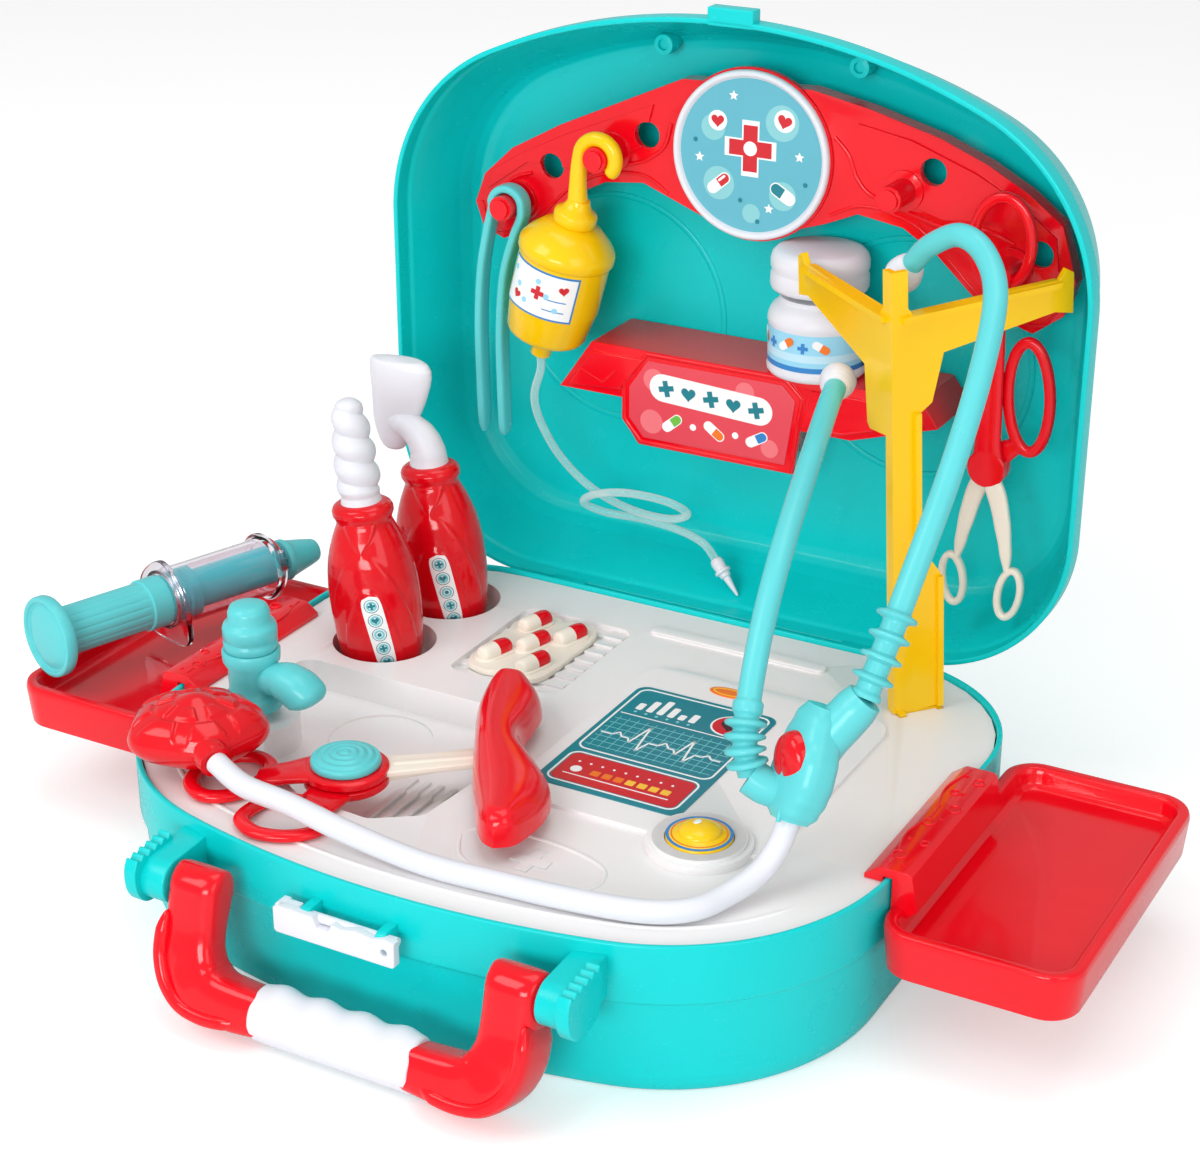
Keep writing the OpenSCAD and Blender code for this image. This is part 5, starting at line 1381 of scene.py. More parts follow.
@dataclass
class Tap:
    """The toy tap: a collared body with a swelling spout, and its knob.

    Attributes:
        at: Its place on the deck.
        foot: Height of its foot.
    """

    at: tuple[float, float] = (-116.0, -38.0)
    foot: float = 64.15

    def spout(self) -> Shape:
        """Shape the spout: an S-shaped tube that swells to a bulb at its mouth."""
        z = self.foot
        path = spline([(2, 0, z + 6.4), (8, -1, z + 12.4), (15.4, -2, z + 15.2), (23, -3, z + 14.4), (28, -3, z + 11.6),
                       (30.6, -3, z + 8)], 10)
        size = stretch([4.6, 5.4, 6.8, 8.0, 8.4, 8.2, 7.6], len(path))
        s = np.linspace(0, 1, len(path))
        mouth = np.sqrt(np.clip(1 - (np.clip(s - 0.8, 0, 1) / 0.2) ** 2, 0.004, 1))
        return along(path, size * mouth, size * 0.94 * mouth, 36, (0, 0, 1), 0.4)

    def build(self) -> None:
        """Make the body and the knob."""
        z, by = self.foot, (*self.at, 0)
        body = [(0, z - 9.5), (5, z - 9.5), (5, z), (11.4, z), (11.6, z + 0.8), (11.4, z + 4.6), (10.6, z + 5.6),
                (9.7, z + 6.4), (9.5, z + 9), (9.6, z + 16.6), (10.4, z + 18.4), (11.4, z + 20.2), (11.6, z + 24.2),
                (11.0, z + 25), (0, z + 25)]
        piece("tap_turned", moved(join(lathe(body), self.spout()), by=by), "tap", AQUA, "tap_body", ROUND)
        t = z + 25.15
        knob = [(0, t - 8), (3, t - 8), (3, t), (10.2, t), (10.7, t + 0.6), (10.8, t + 3), (10.2, t + 3.7),
                (10.2, t + 4.6), (10.8, t + 5.3), (10.8, t + 9), (10.2, t + 10.6), (8.8, t + 11.4), (8.4, t + 12.4),
                (8.3, t + 15.6), (7.4, t + 17.8), (5, t + 18.9), (0, t + 19.2)]
        piece("tap_cap", moved(lathe(knob), by=by), "tap_knob", AQUA, "tap_knob", ROUND)


# ---------------------------------------------------------------- rack, shelf and their prints


@dataclass
class Rack:
    """Raised lines and the badge's print on the hanger rack.

    Attributes:
        front: Y of the rack's face.
        badge: X and Z of the badge's middle.
        radius: Radius of its border.
    """

    front: float = 160.1
    badge: tuple[float, float] = (3.0, 256.7)
    radius: float = 35.0

    def edge(self, points: Sequence, y: float, size: float = 0.9) -> Shape:
        """Run a rounded moulded edge along points of the face."""
        return along(spline(standing(points, y), 6), size, size * 0.8, 12, FORWARD)

    def build(self) -> None:
        """Make the edges, the badge's plate with its rim, and the print."""
        y = self.front
        lines = [
            self.edge([(39, 268), (45, 262), (49, 253), (55, 247), (66, 243.6), (78, 240), (90, 237.6), (104, 239.2),
                       (117, 235)], y - 0.2),
            self.edge([(-35, 265), (-38, 255), (-46, 248.4), (-56, 244.8), (-68, 241.6), (-78, 237.6)], y - 0.2),
            self.edge([(-102, 235.4), (-111, 232), (-119, 225)], y - 0.2),
            self.edge([(38, 236), (52, 241.6), (70, 239), (84, 230.6), (106, 210.4), (127, 203.4), (136, 210.6),
                       (139.6, 223)], y - 0.1, 0.7),
            self.edge([(-36, 235), (-48, 241.4), (-66, 239.6), (-83, 231.4), (-100, 215.6), (-117, 207.6),
                       (-124.6, 210.8), (-127.6, 219.6)], y - 0.1, 0.7),
        ]
        piece("rack_lines", join(*lines), "lid", RED, "", ROUND)
        r, (bx, bz) = self.radius, self.badge
        rim = [(0, 0), (r, 0), (r + 0.2, 0.8), (r, 2.2), (r - 0.6, 2.8), (r - 1.3, 3), (r - 2, 2.8), (r - 2.8, 1.9),
               (r - 3, 1.4), (0, 1.4)]
        piece("badge_plate", moved(lathe(rim, 96), upright(bx, y - 1.6, bz)), "lid", WHITE, "rack_badge", FIRM)
        face = Print("badge", "lid", upright(bx, y - 3.0, bz))
        face.lay(ink("lagoon", (94, 178, 196)), 1, circle((0, 0), r - 3.2, 96))
        face.lay(ink("mist", (134, 202, 208)), 2, circle((-14, -13), 7), circle((15, -15), 6), circle((-17, 10), 5.4),
                 circle((14, 15), 7.4), circle((1, -24), 4))
        face.lay(INK_WHITE, 3, plus((0, 3), 11.6), *[star(p, 2.2) for p in ((-23, -3), (22, 2), (-8, 24), (9, -21))],
                 tablet((-14, -13), 12, 5, 40), tablet((15, -14), 12.4, 5.6, -30), circle((-15, 13), 4.2),
                 circle((15, 16), 4.6))
        face.lay(INK_RED, 4, plus((0, 3), 9.6), tablet((-14, -13), 11, 4, 40, 1), heart((-15, 13), 2.9),
                 heart((15, 15.8), 3.2, -14))
        face.lay(INK_TEAL, 4, tablet((15, -14), 11.4, 4.6, -30, -1),
                 *[circle(p, 1.0, 16) for p in ((-4, -19), (4, -27), (25, -9), (-25, 4))])
        face.lay(INK_WHITE, 5, circle((0, 3), 3.0), tablet((-12.6, -10.8), 4, 1.0, 40))


@dataclass
class Shelf:
    """Raised lines of the medicine shelf, and its plaque with a blank banner of tablets and crosses.

    Attributes:
        front: Y of the shelf's face.
    """

    front: float = 144.1

    def build(self) -> None:
        """Make the moulded edges, the plaque's frame and its print."""
        y = self.front
        edge = Rack().edge
        frame_line = [(-37, 168.6), (28, 168.6), (35.8, 161.4), (31.4, 128.6), (-39.4, 128.6), (-47.6, 138),
                      (-47.6, 154.6), (-37, 168.6)]
        back = np.array([(-38, 169.9), (28.6, 169.9), (37.2, 161.9), (32.6, 127.2), (-40.2, 127.2), (-48.9, 137.5),
                         (-48.9, 155)])
        corner = np.vstack([np.linspace(a, b, 6, endpoint=False)
                            for a, b in zip(frame_line[:-1], frame_line[1:])] + [frame_line[-1:]])
        path = standing(corner, y - 0.1)
        zig = ((-69.4, 157.4), (-58, 152.6), (-51.4, 159.4))
        dent = standing(np.vstack([np.linspace(a, b, 5) for a, b in zip(zig[:-1], zig[1:])]), y - 1.1)
        lines = join(slab([back[::-1]], y - 0.35, 2.2, 0.3), along(path, 1.0, 0.9, 12, FORWARD),
                     along(dent, 0.5, 0.4, 10, FORWARD),
                     edge([(40, 152), (52, 149.6), (60, 151.4), (88, 160.6)], y - 1.1, 0.6))
        piece("shelf_lines", lines, "lid", RED, "", ROUND)
        loop = np.array([(-45, 139), (-38, 131), (29, 131), (33, 160), (27, 166), (-36, 166), (-45, 153)])
        piece("plaque_plate", slab([loop], y - 1, 1, 0.25), "lid", ink("coral", (226, 70, 84)), "shelf_plaque", FIRM)
        face = Print("plaque", "lid", upright(0, y - 1, 0))
        face.lay(ink("blush", (238, 118, 126)), 1, circle((-33, 158), 5), circle((10, 160), 4.4),
                 circle((-34, 139), 5.4), circle((22, 137), 4))
        pills = ((INK_GREEN, -24, 40), (INK_ORANGE, -4, -35), (INK_BLUE, 16, 30))
        face.lay(INK_WHITE, 2, tablet((-6, 154), 58, 12.4, -3), *[tablet((x, 140), 11, 4.6, t) for _, x, t in pills],
                 *[circle((x, 140), 1.5, 20) for x in (-14, 6)])
        banner = []
        for i in range(5):
            x = -27 + 10.6 * i
            banner.append(heart((x, 155 - 0.55 * i), 3.4) if i % 2 else plus((x, 155.1 - 0.55 * i), 3.6, 12))
        face.lay(INK_TEAL, 3, *banner)
        for look, x, t in pills:
            face.lay(look, 3, tablet((x, 140), 10, 3.8, t, 1))


# ---------------------------------------------------------------- stethoscope


LEFT_TUBE = [(107.2, -49, 97), (103.6, -46.5, 108), (101, -38, 122), (98, -22, 143), (94, 2, 163), (86, 40, 179),
             (77, 75, 187), (72.5, 92, 189)]
RIGHT_TUBE = [(140, -28, 126), (143, -18, 143), (145.5, 0, 167), (147, 24, 194), (146, 50, 221), (141, 74, 242),
              (130, 90, 252), (117, 98, 255), (103, 105, 247), (95, 109, 238)]


@dataclass
class Stethoscope:
    """The toy stethoscope: yoke, ribbed ear tubes, tips and the domed chestpiece.

    Attributes:
        yoke: Middle of the yoke.
        chest: Middle of the chestpiece.
    """

    yoke: tuple[float, float, float] = (124.5, -41.0, 103.0)
    chest: tuple[float, float, float] = (-108.0, -84.0, 76.0)

    def tube(self, points: Sequence, discs: Sequence[float], collar: tuple[float, float], thick: float) -> Shape:
        """Shape an ear tube whose radius swells into discs and a collar.

        Formula: r(s) = 4.55 + the sum of 3.1 exp(-((s - s_i) / thick)^4) + 1.1 within the collar, s the length
        run; the other half width starts at 4.25.
        """
        path = spline(points, 40)
        s = run(path)
        bump = sum(3.1 * np.exp(-(((s - c) / thick) ** 4)) for c in discs)
        step = 1 / (1 + np.exp(-(s - collar[0]) * 4)) - 1 / (1 + np.exp(-(s - collar[1]) * 4))
        return along(path, 4.55 + bump + 1.1 * step, 4.25 + bump + 1.1 * step, 28, (0.3, 1, 0))

    def tip(self, points: Sequence) -> Shape:
        """Shape an ear tip: a soft bud round the tube's end."""
        p = spline(points, 4)
        t = unit(p[-1] - p[-2])
        d = np.linspace(0, 1, 24)
        r = stretch([4.7, 5.8, 6.6, 7.1, 7.2, 6.4, 4.6, 1.2], 24)
        return along(p[-1] + np.outer(15 * d, t), r, r, 32, (0.3, 1, 0))

    def body(self) -> Shape:
        """Shape the yoke's leaf with its two sockets."""
        y = vec(*self.yoke)
        up = (0.55, 0.83, 0)
        leaf = spline([y + vec(-1.5, -9, -19), y + vec(-0.6, -4, -9), y + vec(0.8, 2, 5), y + vec(2.5, 8, 19)], 12)
        w = stretch([6.6, 9.8, 12.2, 13.3, 12.9, 11.4, 9.2, 6.4], len(leaf))
        h = stretch([6.2, 7.9, 8.6, 8.8, 8.6, 8.0, 7.0, 4.6], len(leaf))
        left = spline([y + vec(-1, -2, -8), y + vec(-7, -5, -10), y + vec(-12, -7, -9), LEFT_TUBE[0]], 8)
        right = spline([y + vec(1, 1, 0), y + vec(5, 5, 8), y + vec(10, 9, 15), RIGHT_TUBE[0]], 8)
        arm = stretch([7.6, 8.3, 8.2, 8.0, 7.8, 6.8], len(right))
        spine = leaf[4:-4] + vec(*unit(vec(-0.55, -0.83, 0))) * (h[4:-4, None] - 0.4) + vec(2.6, -1.7, 0)
        return join(along(leaf, w, h, 48, up, 0.8), along(left, 6.7, 6.7, 36, up),
                    along(right, arm, arm, 36, up), along(spine, 0.8, 0.8, 12, up))

    def button(self) -> Shape:
        """Shape the split oval button on the yoke's front."""
        g, s = np.meshgrid(2 * np.pi * np.arange(48) / 48, np.linspace(0, 1, 16), indexing="ij")
        u, v = 9.4 * s * np.cos(g), 12.8 * s * np.sin(g)
        c, k = math.cos(math.radians(24)), math.sin(math.radians(24))
        split = np.exp(-(((u * c + v * k) / 0.7) ** 2))
        z = 5.0 * np.sqrt(np.maximum(1 - s**2, 0)) - 0.9 * split * (s < 0.97)
        top = np.stack([u, v, z], -1).transpose(1, 0, 2)[::-1]
        foot = top[:1] * vec(1, 1, 0) + vec(0, 0, -3)
        return moved(loft(np.vstack([foot, top[:-1]])), Matrix.Translation(Vector(self.yoke) + Vector((-3, -4.6, 0)))
                     @ turned("Z", -33) @ turned("X", 90))

    def head(self) -> Shape:
        """Shape the chestpiece: a flattened dome with a lobed edge and raised pads in two rows.

        Formula: r(g) = 26.4 cos a (1 + 0.045 cos(5g + 0.6) cos a), height 12.2 sin a, plus 1.15 mm on each pad,
        a window in the angle g and in the distance cos a from the axis, and a 3 mm knob in the middle.
        """
        g = 2 * np.pi * np.arange(240)[None, :] / 240
        a = np.linspace(-math.pi / 2 * 0.62, math.pi / 2, 96)[:, None]
        far, above = np.cos(a), a > 0
        r = 26.4 * far * (1 + 0.045 * np.cos(5 * g + 0.6) * far)
        lift = 3.0 * np.exp(-((far / 0.3) ** 2)) * above + 0 * g
        for count, shift, low, high, part in ((7, 0.0, 0.63, 0.93, 0.74), (7, 0.5, 0.33, 0.57, 0.7)):
            turn = ((g / (2 * np.pi) * count + shift) % 1 - 0.5) * 2
            skew = part * (0.72 + 0.28 * (far - low) / (high - low))
            window = 1 / (1 + np.exp((np.abs(turn) - skew) * 42))
            window = window / (1 + np.exp((low - far) * 110)) / (1 + np.exp((far - high) * 110))
            lift = lift + 1.15 * window * above
        z = 12.2 * np.sin(a) + lift
        ring = np.stack([r * np.cos(g), 0.86 * r * np.sin(g), np.broadcast_to(z, r.shape)], -1)
        neck = spline([(9, -9, 1), (15, -12.5, 0), (21, -16, -1.05)], 6)
        size = stretch([8, 7.6, 6.8, 6.2], len(neck))
        return moved(join(moved(loft(ring), turned("Z", 35)), along(neck, size, size, 32)), by=self.chest)

    def build(self) -> None:
        """Make every piece of the stethoscope except its hose."""
        piece("yoke_leaf", self.body(), "stethoscope", AQUA, "steth_yoke", ROUND)
        piece("yoke_oval", self.button(), "stethoscope", CRIMSON, "yoke_button", SWEPT)
        piece("ear_tube_left", self.tube(LEFT_TUBE, (4.6, 9.2, 13.8, 18.4), (21.8, 26.4), 1.35), "stethoscope", AQUA,
              "left_ear_tube", SWEPT)
        piece("ear_tube_right", self.tube(RIGHT_TUBE, (7.4, 15.0, 22.6, 30.2), (-4, 2.4), 1.2), "stethoscope", AQUA,
              "right_ear_tube", SWEPT)
        piece("ear_bud_left", self.tip(LEFT_TUBE), "stethoscope", WHITE, "left_ear_tip", SWEPT)
        piece("ear_bud_right", self.tip(RIGHT_TUBE), "stethoscope", WHITE, "right_ear_tip", SWEPT)
        piece("chest_dome", self.head(), "stethoscope", CRIMSON, "chestpiece", SOFT)


# ---------------------------------------------------------------- bottles


def wrap(radius: float, low: Sequence, high: Sequence, lift: float, steps: int = 24) -> Shape:
    """Lay a thin curved sheet round a cylinder that stands on Z.

    Formula: corner (g, z) lies at (r cos g, r sin g, z); the sheet reaches from radius to radius + lift.

    Args:
        radius: Radius of the cylinder.
        low: Angle in degrees and height of one corner.
        high: Angle in degrees and height of the other.
        lift: Thickness of the sheet.
        steps: Steps round it.

    Returns:
        The vertices and faces.
    """
    g = np.radians(np.linspace(low[0], high[0], steps + 1))
    z0, z1 = low[1], high[1]
    c, s = np.cos(g), np.sin(g)
    r1 = radius + lift
    corners = ((radius, z0), (r1, z0), (r1, z1), (radius, z1))
    return loft(np.stack([np.stack([k * c, k * s, np.full_like(g, z)], 1) for k, z in corners], 1))


def on_side(radius: float, angle: float, z: float) -> Matrix:
    """Return the transform of a flat patch that touches a standing cylinder at an angle."""
    return turned("Z", angle + 90) @ Matrix.Translation((0, -radius, z)) @ turned("X", 90)


@dataclass
class DripBottle:
    """The drip bottle with its hook cap, blank label and needle.

    Attributes:
        at: Middle of the bottle.
        lean: Lean of the bottle in degrees.
        radius: Radius of its widest ring.
        peg: X and Z of its peg.
    """

    at: tuple[float, float, float] = tuple(IV_AT)
    lean: float = IV_LEAN
    radius: float = 21.0
    peg: tuple[float, float] = (-62.0, 249.7)

    def place(self) -> Matrix:
        """Return the transform from the bottle's own frame."""
        return Matrix.Translation(self.at) @ turned("Y", self.lean)

    def hook(self) -> Shape:
        """Shape the hook: a round bar that rises from the cap and bends over the peg."""
        px, pz = self.peg
        r, y = 8.4, self.at[1]
        start = np.array(self.at) + 35 * IV_DOWN
        bend = [(px + r * math.cos(math.radians(g)), y, pz + r * math.sin(math.radians(g)))
                for g in range(175, -51, -25)]
        path = spline([start, (px - r - 1.0, y, pz - 10), *bend], 6)
        size = np.concatenate([stretch([4.4, 3.5, 3.1], 14), np.full(len(path) - 14, 3.1)])
        end = np.concatenate([np.ones(len(path) - 4), [0.97, 0.88, 0.7, 0.35]])
        return along(path, size * end, size * end, 28, FORWARD, 0.3)

    def label(self) -> None:
        """Lay the blank label: a white sheet with a blue edge, dots, hearts and a plus."""
        m, r, a, b = self.place(), self.radius - 1.2, -142.0, -38.0
        piece("drip_label_edge", moved(wrap(r, (a, -10.4), (b, 10.8), 0.12), m), "drip", INK_BLUE, "", CRISP)
        piece("drip_label", moved(wrap(r, (a + 2.6, -9.5), (b - 2.6, 9.9), 0.2), m), "drip", INK_WHITE, "", CRISP)
        dots = [sticker(circle((0, 0), 1.25, 18), m @ on_side(r + 0.19, -132 + 14 * i, 5.6 - 5.4 * (i % 3)))
                for i in range(6)]
        piece("drip_label_dots", join(*dots), "drip", INK_SKY, "", CRISP)
        red = [sticker(heart((0, 0), 2.2, t), m @ on_side(r + 0.2, g, z))
               for g, z, t in ((-56, 4.6, 12), (-118, -4.6, -14))]
        red.append(sticker(plus((0, 0), 3.0), m @ on_side(r + 0.2, -88, 0.6)))
        piece("drip_label_red", join(*red), "drip", INK_RED, "", CRISP)
        lines = [moved(wrap(r + 0.18, (-78, z), (-50, z + 0.5), 0.06, 8), m) for z in (-1.2, -6.0)]
        piece("drip_label_lines", join(*lines), "drip", INK_BLUE, "", CRISP)

    def needle(self) -> bpy.types.Object:
        """Make the needle's white hub and tip at the tube's far end, and return it."""
        e, t = DRIP_ROUTE[-1], unit(DRIP_ROUTE[-1] - DRIP_ROUTE[-2])
        d = np.array([0, 0.4, 2, 5.4, 5.8, 7, 7.4, 9, 9.6, 14, 18.4, 19])
        r = np.array([2.2, 2.6, 3.0, 2.7, 3.6, 3.6, 2.6, 2.4, 1.7, 1.2, 0.6, 0.2])
        return piece("needle_hub", along(e + np.outer(d, t), r, r, 28), "drip", WHITE, "drip_needle", FIRM)

    def build(self) -> None:
        """Make the bottle, its hook cap and its label."""
        r = self.radius
        profile = [(0, -36), (4.2, -36), (4.6, -35.4), (4.6, -30.4), (5.2, -29.6), (9, -28.3), (14.6, -26.6),
                   (16.6, -25.2), (17.6, -23.4), (r - 1.7, -11.4), (r - 1.2, -9.6), (r - 1.2, 12), (r - 0.5, 12.8),
                   (r, 13.8), (r, 16.6), (r - 0.4, 17.8), (r - 2.4, 20.6), (r - 4.4, 22.6), (13, 25.9), (8.4, 27.6),
                   (8.4, 28), (0, 28)]
        piece("drip_bottle", moved(lathe(profile, 72), self.place()), "drip", YELLOW, "iv_bottle", FIRM)
        cap = [(0, 28), (9, 28), (9.4, 28.5), (9.4, 32.2), (8.8, 33.2), (6.4, 34.6), (5.2, 37), (4.6, 38.6), (0, 39)]
        piece("drip_hook", join(moved(lathe(cap, 48), self.place()), self.hook()), "drip", YELLOW, "iv_hook_cap", ROUND)
        self.label()


@dataclass
class PillBottle:
    """The pill bottle with its bulged cap and a blank light blue band.

    Attributes:
        at: Middle of its foot.
        radius: Radius of its body.
        height: Height with its cap.
    """

    at: tuple[float, float, float] = (36.0, 157.0, 170.15)
    radius: float = 21.0
    height: float = 53.0

    def build(self) -> None:
        """Make the bottle, the cap and the band."""
        r, h = self.radius, self.height
        low = [(0, 0), (r - 3, 0), (r - 1.2, 0.6), (r - 0.3, 1.8), (r, 3.4), (r - 0.5, 5), (r - 0.5, 21.6), (r, 22.6),
               (r - 0.1, 24.4), (r - 0.8, 26.6), (r - 2, 28.6), (r - 3.6, 30), (r - 4.8, 31), (r - 4.9, 33), (0, 33)]
        piece("pill_bottle_turned", moved(lathe(low, 72), by=self.at), "pill_bottle", WHITE, "pill_bottle", ROUND)
        top = [(r - 5.5, h - 17.2), (r - 2.4, h - 17.2), (r - 1.2, h - 16.6), (r - 0.6, h - 15.2), (r - 0.7, h - 11),
               (r - 1.2, h - 9.6), (r - 1.2, h - 8.8), (r - 0.7, h - 7.6), (r - 0.6, h - 4.6), (r - 1.2, h - 2.4),
               (r - 3, h - 0.6), (r - 5.4, h - 0.1), (0, h)]
        piece("pill_bottle_top", moved(lathe([(0, h - 17.2), *top], 72), by=self.at), "pill_cap", WHITE,
              "pill_bottle_cap", ROUND)
        base = r - 0.5
        band = [(wrap(base, (0, 5.4), (360, 21.2), 0.14, 72), INK_SKY),
                (wrap(base + 0.12, (0, 5.4), (360, 7.6), 0.06, 72), INK_BLUE),
                (wrap(base + 0.12, (0, 9.8), (360, 13), 0.05, 72), ink("haze", (190, 228, 244)))]
        for i, (shape, look) in enumerate(band):
            piece(f"pill_band_{i}", moved(shape, by=self.at), "pill_bottle", look, "", CRISP)
        by = Matrix.Translation(self.at)
        for look, half in ((INK_WHITE, -1), (INK_ORANGE, 1)):
            tabs = [sticker(tablet((0, 0), 8, 3.4, t, half), by @ on_side(base + 0.16, g, 16.6))
                    for g, t in ((-62, -30), (-104, 35), (-150, -30))]
            piece(f"pill_band_tablets_{look.name}", join(*tabs), "pill_bottle", look, "", CRISP)
        marks = [sticker(plus((0, 0), 2.2), by @ on_side(base + 0.16, g, 15.8)) for g in (-83, -126)]
        piece("pill_band_plus", join(*marks), "pill_bottle", INK_BLUE, "", CRISP)


# ---------------------------------------------------------------- hanging and standing tools


@dataclass
class Tweezers:
    """The tweezers: one bent strip round its peg.

    Attributes:
        peg: X and Z of its peg.
        front: Y of its front.
    """

    peg: tuple[float, float] = (-108.0, 222.7)
    front: float = 146.1

    def build(self) -> None:
        """Make the strip, its two legs and the wide bend."""
        px, pz = self.peg
        right = [(-3.6, -106), (-4.2, -84), (-4.4, -58), (-2.2, -32), (3, -14), (6.8, -5)]
        bend = [(7.5 * math.cos(math.radians(g)), 7.5 * math.sin(math.radians(g))) for g in range(-10, 196, 29)]
        left = [(-10.4, -14), (-13.6, -32), (-15.2, -60), (-14.2, -106)]
        path = spline([(px + x, self.front + 4, pz + z) for x, z in [*right, *bend, *left]], 8)
        ends = np.ones(len(path))
        ends[[0, 1, -2, -1]] = (0.55, 0.9, 0.9, 0.55)
        thick = np.interp(np.linspace(0, 1, len(path)), [0, 0.3, 0.5, 0.7, 1], [1.9, 1.9, 1.8, 1.9, 1.9])
        strip = along(path, 4.0 * ends, thick * ends, 32, (-1, 0, 0), 2.2)
        piece("tweezers_strip", strip, "tweezers", AQUA, "tweezers", ROUND)


@dataclass
class Forceps:
    """The ring forceps: red rings and shanks, cream arms and loops below the pivot.

    Attributes:
        pivot: X, Y and Z of the pivot, Y being the face between the halves.
        ring: X and Z of the hung ring's middle.
    """

    pivot: tuple[float, float, float] = (117.0, 148.1, 146.0)
    ring: tuple[float, float] = (117.0, 239.7)

    def arm(self, side: int, y: float) -> Shape:
        """Shape one lower arm with its loop, on the left for side -1."""
        x, _, z = self.pivot
        way = spline([(x + side * 1, y, z - 2), (x + side * 6, y, z - 14), (x + side * 9.6, y, z - 30),
                      (x + side * 11.6, y, z - 43.6)], 8)
        arm = along(way, stretch([3.6, 4, 3.5, 2.6, 1.0], len(way)), stretch([2.0, 2.0, 2.0, 1.8], len(way)), 24,
                    FORWARD, 1.0)
        tilt = 8 * side
        path = standing(ellipse((x + side * 13, z - 53), 4.6, 10.6, -tilt, 72), y)
        return join(arm, along(np.vstack([path, path[:1]]), 1.5, 2.0, 20, FORWARD, 0.6))

    def bow(self, centre: Sequence, rx: float, rz: float, tilt: float, y: float, thick: float) -> Shape:
        """Shape one upper ring."""
        path = standing(ellipse(centre, rx, rz, tilt, 96), y)
        return along(np.vstack([path, path[:1]]), thick, 2.0, 24, FORWARD, 0.6)

    def build(self) -> None:
        """Make both halves in their two colours, and the pivot."""
        x, y, z = self.pivot
        front, back = y - 2.1, y + 2.0
        rx, rz = self.ring
        hub = moved(lathe([(0, -2), (7.4, -2), (8, -1.4), (8, 1.4), (7.4, 2), (0, 2)], 48), turned("X", 90))
        stem = spline([(rx - 1.5, front, rz - 17.6), (x - 0.4, front, z + 40), (x - 0.4, front, z + 16),
                       (x, front, z + 2)], 8)
        shank = along(stem, stretch([4.4, 4.6, 5.2, 6.4], len(stem)), 2.0, 28, FORWARD, 1.2)
        hung = join(self.bow((rx, rz), 11.8, 17.8, 0, front, 2.2), shank, moved(hub, by=(x, front, z)))
        piece("forceps_hung_red", hung, "forceps_hung", RED, "forceps_left", ROUND)
        link = spline([(x + 10.8, back, z + 10), (x + 6, back, z + 7), (x, back, z)], 6)
        shank = along(link, stretch([3.2, 4.4, 5.6], len(link)), 2.0, 28, FORWARD, 1.2)
        free = join(self.bow((x + 14, z + 31), 8.7, 22.7, 4, back, 2.3), shank, moved(hub, by=(x, back, z)))
        piece("forceps_free_red", free, "forceps_free", RED, "forceps_right", ROUND)
        piece("forceps_hung_cream", self.arm(1, front), "forceps_hung", CREAM, "", ROUND)
        piece("forceps_free_cream", self.arm(-1, back), "forceps_free", CREAM, "", ROUND)
        pin = [(0, 0.1), (2.5, 0.1), (2.5, -4.1), (4, -4.1), (4, -5), (3.4, -5.4), (0, -5.5)]
        piece("forceps_rivet", moved(lathe(pin[::-1], 32), turned("X", 90), (x, y, z)), "forceps_hung", CREAM,
              "forceps_pivot", ROUND)


